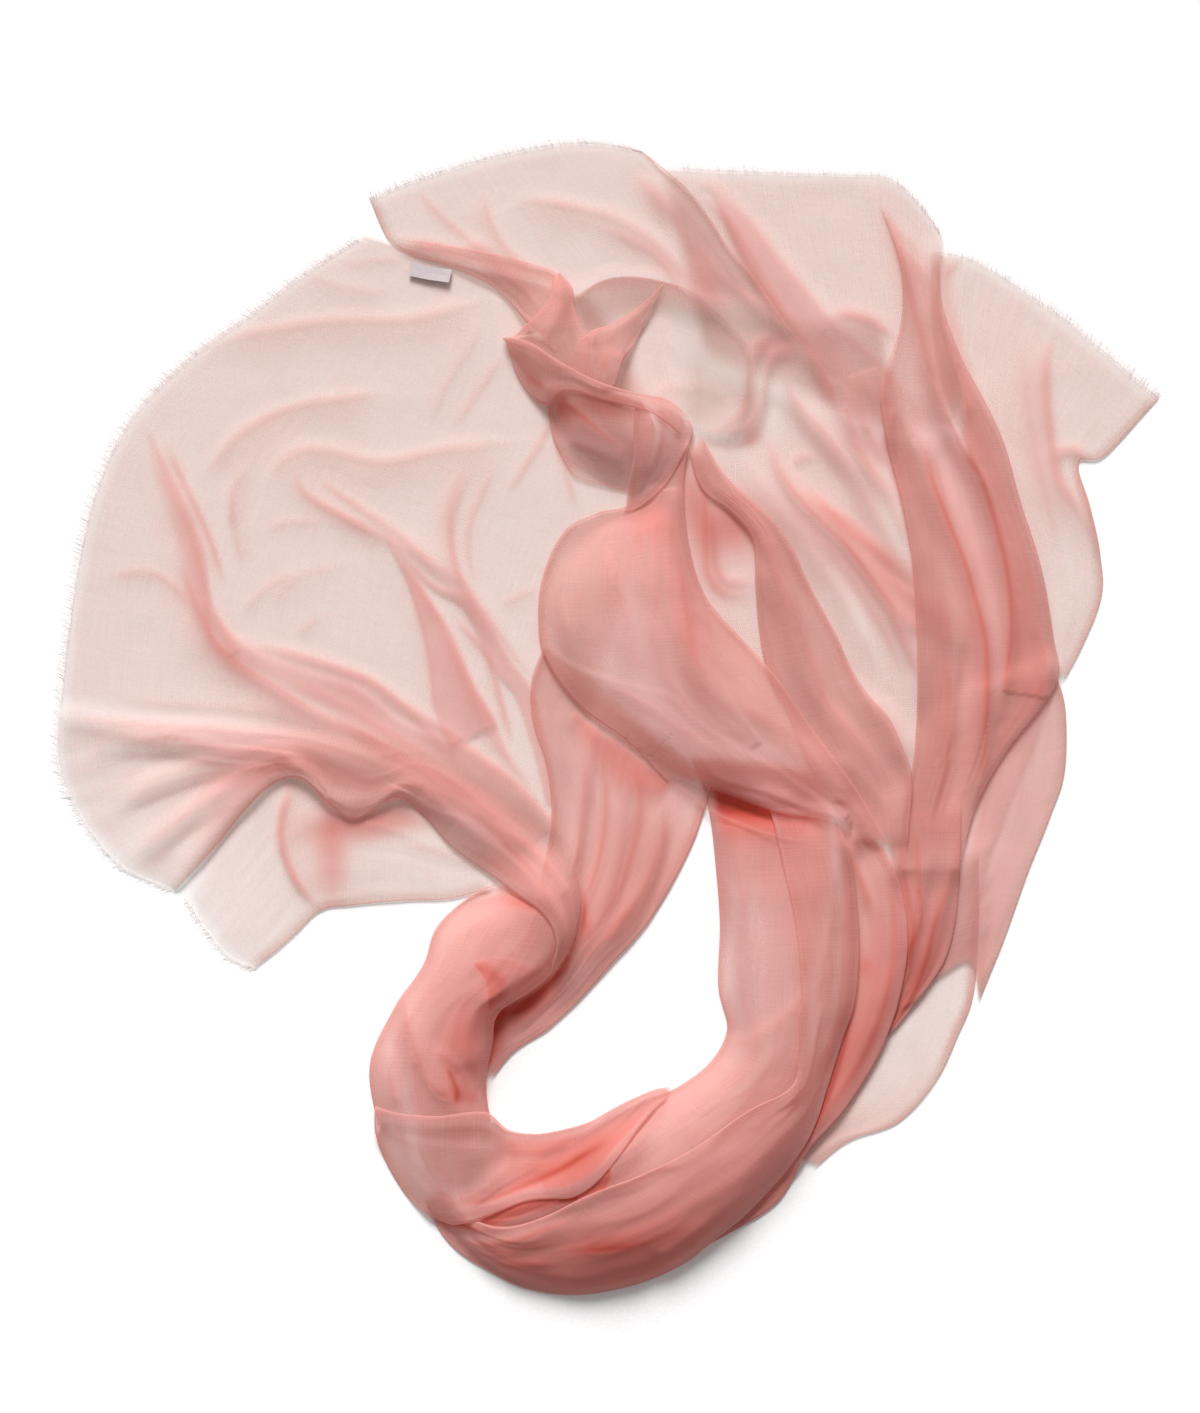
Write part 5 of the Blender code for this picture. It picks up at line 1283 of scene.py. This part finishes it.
def heart_height(values, rows, cols):
    """How far a heap's packed plies stand up: rounded across, and as tall as each section says."""
    tall = np.interp(np.linspace(0.0, len(values) - 1.0, rows), np.arange(len(values)), values)
    across = np.abs(np.linspace(-1.0, 1.0, cols))[None, :]
    return (tall[:, None] - HEART_COVER) * np.sqrt(1.0 - HEART_CROWN * across**3)


def sheet_form(name, stretch, bed, seed):
    """Lay one stretch: its points in plan, heights and plies, with turned edges."""
    plan = plan_grid(stretch)
    rows, cols = plan.shape[:2]
    z = settle(bed.under(plan) + SHEET_GAP)
    if "heights" in stretch:
        z = z + heart_height(stretch["heights"], rows, cols)
    height = np.zeros((rows, cols))
    plies_and_shade = base_plies(stretch["plies_and_shade"], rows, cols)
    relief = SINGLE_RELIEF if plies_and_shade.mean() < SINGLE_PLIES else GATHERED_RELIEF
    add_folds(name, plan, height, plies_and_shade, relief)
    rough, more = gathers(stretch, plan, seed)
    x, y = plan[..., 0], plan[..., 1]
    calm = sum(tall * (soft_noise(x / long, y / long, wave) - 0.5) for tall, long, wave in CALM_WAVES)
    z = z + height + rough + calm - calm.min()
    plies_and_shade = np.maximum(add_pools(name, plan, plies_and_shade + more), 0.0)
    plies_and_shade = thin_edges(name, stretch, plan, plies_and_shade)
    turned = turn_edges(stretch["turned"], plan, z, plies_and_shade, bed)
    bed.cover(plan, z)
    return turned


def add_sheet(name, plan, z, plies_and_shade, material):
    """A grid shaped to the laid points, with the cloth's own measure as its UV map and its plies."""
    rows, cols = z.shape
    bpy.ops.object.select_all(action="DESELECT")
    bpy.ops.mesh.primitive_grid_add(x_subdivisions=cols - 1, y_subdivisions=rows - 1, size=1.0)
    item = bpy.context.active_object
    item.name = name
    mesh = item.data
    points = np.stack(in_metres(plan[..., 0], plan[..., 1], z), axis=-1)
    mesh.vertices.foreach_set("co", points.reshape(-1).astype(np.float32))
    along, across = run_length(points[:, cols // 2]), run_length(points[rows // 2])
    uv = np.stack(np.broadcast_arrays(across[None, :], along[:, None]), axis=-1).reshape(-1, 2)
    corner = np.empty(len(mesh.loops), dtype=np.int32)
    mesh.loops.foreach_get("vertex_index", corner)
    mesh.uv_layers.active.data.foreach_set("uv", uv[corner].reshape(-1).astype(np.float32))
    layer = mesh.attributes.new("plies_and_shade", "FLOAT", "POINT")
    layer.data.foreach_set("value", plies_and_shade.reshape(-1).astype(np.float32))
    mesh.materials.append(material)
    mesh.shade_smooth()
    return item


# ---- materials ----------------------------------------------------------------------------------------
class Nodes:
    """Short calls for a material's nodes."""

    def __init__(self, name):
        self.material = bpy.data.materials.new(name)
        self.material.use_nodes = True
        self.tree = self.material.node_tree
        self.tree.nodes.clear()

    def add(self, kind, inputs=(), **values):
        """A node with its settings, and each of its inputs linked or set."""
        node = self.tree.nodes.new(kind)
        for key, value in values.items():
            setattr(node, key, value)
        for key, value in dict(inputs).items():
            if hasattr(value, "links"):
                self.tree.links.new(value, node.inputs[key])
            else:
                node.inputs[key].default_value = value
        return node

    def math(self, operation, first, second=0.0):
        """The result of a sum, a product or the like."""
        return self.add("ShaderNodeMath", {0: first, 1: second}, operation=operation).outputs[0]

    def ramp(self, value, stops):
        """A colour that goes through stops of (place, red, green, blue)."""
        node = self.add("ShaderNodeValToRGB", {"Fac": value})
        row = node.color_ramp.elements
        for k, (place, *colour) in enumerate(stops):
            stop = row[k] if k < 2 else row.new(place)
            stop.position, stop.color = place, (*colour, 1.0)
        return node.outputs["Color"]

    def slub(self, uv, scale):
        """Thick and thin places of the yarn that runs one way."""
        place = self.add("ShaderNodeMapping", {"Vector": uv, "Scale": (*scale, 1.0)}).outputs[0]
        return self.add("ShaderNodeTexNoise", {"Vector": place, "Scale": 1.0, "Detail": 0.0},
                        noise_dimensions="2D").outputs["Fac"]


def cloth_material(name, tint):
    """Sheer woven cloth: the more plies and the more slanting the view, the less light it lets through."""
    n = Nodes(name)
    plies_and_shade = n.add("ShaderNodeAttribute", attribute_name="plies_and_shade").outputs["Fac"]
    uv = n.add("ShaderNodeUVMap").outputs["UV"]
    # depth is how much yarn the light meets: more where the plies lie deep or are seen from the side
    slubs = n.math("ADD", n.slub(uv, SLUBS), n.slub(uv, SLUBS[::-1]))
    slubs = n.math("ADD", n.math("MULTIPLY", slubs, 0.3), 0.7)
    facing = n.add("ShaderNodeLayerWeight", {"Blend": 0.5}).outputs["Facing"]
    cosine = n.math("MAXIMUM", n.math("SUBTRACT", 1.0, facing), 0.2)
    depth = n.math("DIVIDE", n.math("MULTIPLY", n.math("MULTIPLY", plies_and_shade, COVER), slubs), cosine)
    coverage = n.math("SUBTRACT", 1.0, n.math("EXPONENT", n.math("MULTIPLY", depth, -1.0)))
    # the front colour darkens with the count; its darkest part is painted shade
    front_and_shade = n.ramp(n.math("DIVIDE", plies_and_shade, 10.0), FRONT_AND_SHADE)
    through = n.ramp(n.math("DIVIDE", plies_and_shade, 10.0), THROUGH)
    across = n.add("ShaderNodeSeparateXYZ", {"Vector": uv}).outputs
    turns = 2.0 * math.pi / YARN_PITCH
    warp, weft = (n.math("SINE", n.math("MULTIPLY", across[k], turns)) for k in range(2))
    threads = n.math("ADD", warp, weft)
    bump = n.add("ShaderNodeBump", {"Height": threads, "Strength": 0.1, "Distance": 0.0003}).outputs[0]
    yarn = n.add("ShaderNodeBsdfPrincipled", {"Base Color": front_and_shade, "Roughness": 0.85, "Normal": bump,
                                              "Sheen Weight": 0.2, "Sheen Roughness": 0.5,
                                              "Sheen Tint": SHEEN,
                                              "Specular IOR Level": 0.0}).outputs[0]
    glow = n.add("ShaderNodeBsdfTranslucent", {"Color": through, "Normal": bump}).outputs[0]
    # inputs 1 to 4 of a Map Range are the least and most that go in, and what comes out at each
    passing = n.add("ShaderNodeMapRange", {"Value": plies_and_shade, 1: 1.5, 2: 6.0, 3: GLOW, 4: 0.5 * GLOW}).outputs[0]
    cloth = n.add("ShaderNodeMixShader", {0: passing, 1: yarn, 2: glow}).outputs[0]
    thin = n.add("ShaderNodeMapRange", {"Value": plies_and_shade, 1: 1.2, 2: 4.0, 3: 1.0, 4: 0.0}).outputs[0]
    thin = n.math("MULTIPLY", n.math("MINIMUM", plies_and_shade, 1.0), thin)
    # inputs 6 and 7 of a Mix are its two colours
    # painted shade: thin cloth dims the floor seen through it, most in red
    see_through_dimming = n.add("ShaderNodeMix", {"Factor": thin, 6: WHITE, 7: (*tint, 1.0)}, data_type="RGBA").outputs[2]
    clear = n.add("ShaderNodeBsdfTransparent", {"Color": see_through_dimming}).outputs[0]
    both = n.add("ShaderNodeMixShader", {0: coverage, 1: clear, 2: cloth}).outputs[0]
    n.add("ShaderNodeOutputMaterial", {"Surface": both})
    return n.material


def matt_material(name, colour, roughness):
    """A plain matt finish with a little uneven tone."""
    n = Nodes(name)
    place = n.add("ShaderNodeTexCoord").outputs["Object"]
    noise = n.add("ShaderNodeTexNoise", {"Vector": place, "Scale": 300.0, "Detail": 2.0}).outputs["Fac"]
    tone = n.add("ShaderNodeMix", {"Factor": noise, 6: (*[0.92 * c for c in colour], 1.0),
                                   7: (*[min(1.0, 1.08 * c) for c in colour], 1.0)},
                 data_type="RGBA").outputs[2]
    shader = n.add("ShaderNodeBsdfPrincipled", {"Base Color": tone, "Roughness": roughness}).outputs[0]
    n.add("ShaderNodeOutputMaterial", {"Surface": shader})
    return n.material


# ---- the frayed ends -----------------------------------------------------------------------------------
def yarn_end(spot, side, level, radius):
    """Three corners round one point of a yarn end."""
    corners = []
    for turn in range(3):
        angle = THIRD_TURN * turn
        place = spot + side * (radius * math.cos(angle))
        corners.append(in_metres(place[0], place[1], level + radius * math.sin(angle)))
    return corners


def add_threads(name, plan, z, edge, start, end, draw, material):
    """Short frayed yarn ends along a hem, in loose tufts, as one mesh."""
    line, inside = {"a": (plan[:, 0], plan[:, 2]), "f": (plan[0], plan[2])}[edge]
    level = {"a": z[:, 0], "f": z[0]}[edge]
    length = run_length(line)
    inward = inside - line
    inward /= np.linalg.norm(inward, axis=1, keepdims=True)
    corners, faces = [], []
    at = length[-1] * start
    while at < length[-1] * end:
        at += THREAD_PITCH * draw.uniform(0.4, 1.6)
        tuft = math.sin(at * 0.9) + 0.6 * math.sin(at * 0.37 + 1.0)
        root = at_lengths(at, length, line)
        out = -at_lengths(at, length, inward)
        side = np.array([-out[1], out[0]])
        height = float(np.interp(at, length, level))
        reach = THREAD_LENGTH * draw.uniform(0.45, 1.1) * (0.9 + 0.12 * tuft)
        bend = draw.uniform(-1.0, 1.0) * 1.4 - 0.5 * tuft
        first = len(corners)
        for go, thick in THREAD_SHAPE:
            spot = root + out * reach * go + side * bend * go * go
            drop = height * (1.0 - max(go, 0.0)) ** 1.5 + 0.3
            corners += yarn_end(spot, side, drop, THREAD_RADIUS * thick)
        for k in range(3):
            for turn in range(3):
                p, q = first + 3 * k + turn, first + 3 * k + (turn + 1) % 3
                faces.append((p, q, q + 3, p + 3))
        faces.append((first + 2, first + 1, first))
        faces.append((first + 9, first + 10, first + 11))
    mesh = bpy.data.meshes.new(name)
    mesh.from_pydata(corners, [], faces)
    mesh.shade_smooth()
    mesh.materials.append(material)
    item = bpy.data.objects.new(name, mesh)
    bpy.context.collection.objects.link(item)
    return item


# ---- camera, light and floor ----------------------------------------------------------------------------
def set_scene():
    """Camera straight above, soft light from the upper left, and a pale floor."""
    scene = bpy.context.scene
    camera = bpy.data.cameras.new("camera")
    camera.lens = LENS
    camera.sensor_width = SENSOR
    view = bpy.data.objects.new("camera", camera)
    across, along, _ = in_metres(*VIEW_CENTRE, 0.0)
    view.location = (across, along, VIEW_LONG * LENS / SENSOR)
    scene.collection.objects.link(view)
    scene.camera = view
    sun = bpy.data.lights.new("key", "SUN")
    sun.energy = SUN_STRENGTH
    sun.angle = math.radians(SUN_WIDTH)
    key = bpy.data.objects.new("key", sun)
    key.rotation_euler = (math.radians(SUN_TILT[0]), math.radians(SUN_TILT[1]), 0.0)
    scene.collection.objects.link(key)
    world = bpy.data.worlds.new("studio")
    world.use_nodes = True
    sky = world.node_tree.nodes["Background"].inputs
    sky["Color"].default_value = SKY
    sky["Strength"].default_value = SKY_STRENGTH
    scene.world = world
    bpy.ops.mesh.primitive_plane_add(size=FLOOR_SIZE, location=(0.0, 0.0, 0.0))
    floor = bpy.context.active_object
    floor.name = "floor"
    floor.data.materials.append(matt_material("floor_paint", (0.93, 0.93, 0.93), 0.9))
    scene.view_settings.view_transform = "Standard"
    scene.cycles.transparent_max_bounces = 32
    scene.cycles.max_bounces = 6
    scene.cycles.diffuse_bounces = 4
    scene.cycles.transmission_bounces = 5


# ---- the whole wrap ---------------------------------------------------------------------------------------
def stands_for(piece, node):
    """Say which node of the solid part a piece replaces, on the one body that the wrap has."""
    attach(piece, "root")
    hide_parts(node)


def build():
    """Lay every sheet, put the frayed ends and the label on, and say what each piece is."""
    weave = {slot: cloth_material(slot, tint) for slot, tint in TINTS.items()}
    yarn = matt_material("frayed_yarn", (0.95, 0.80, 0.77), 0.9)
    tape = matt_material("label_satin", (0.52, 0.44, 0.45), 0.6)
    slots = {row["node"]: row["material_slot"] for row in frame["record"]["subparts"]}
    bed = Bed()
    forms, pieces = {}, {}
    for number, name in enumerate(LAYING_ORDER):
        if name == "care_label":
            label = bpy.data.objects["care_label"]
            label.data.materials.clear()
            label.data.materials.append(tape)
            continue
        stretch = STRETCHES[name]
        plan, z, plies_and_shade = sheet_form(name, stretch, bed, 10 * number)
        forms[name] = (plan, z)
        node = stretch.get("node", name)
        pieces[name] = add_sheet("cloth_" + name, plan, z, plies_and_shade, weave[slots[node]])
        stands_for(pieces[name], node)
    draw = np.random.default_rng(7)
    for name, stretch_name, edge, start, end in FRAYED:
        threads = add_threads("threads_" + name, *forms[stretch_name], edge, start, end, draw, yarn)
        stands_for(threads, name)


set_scene()
build()
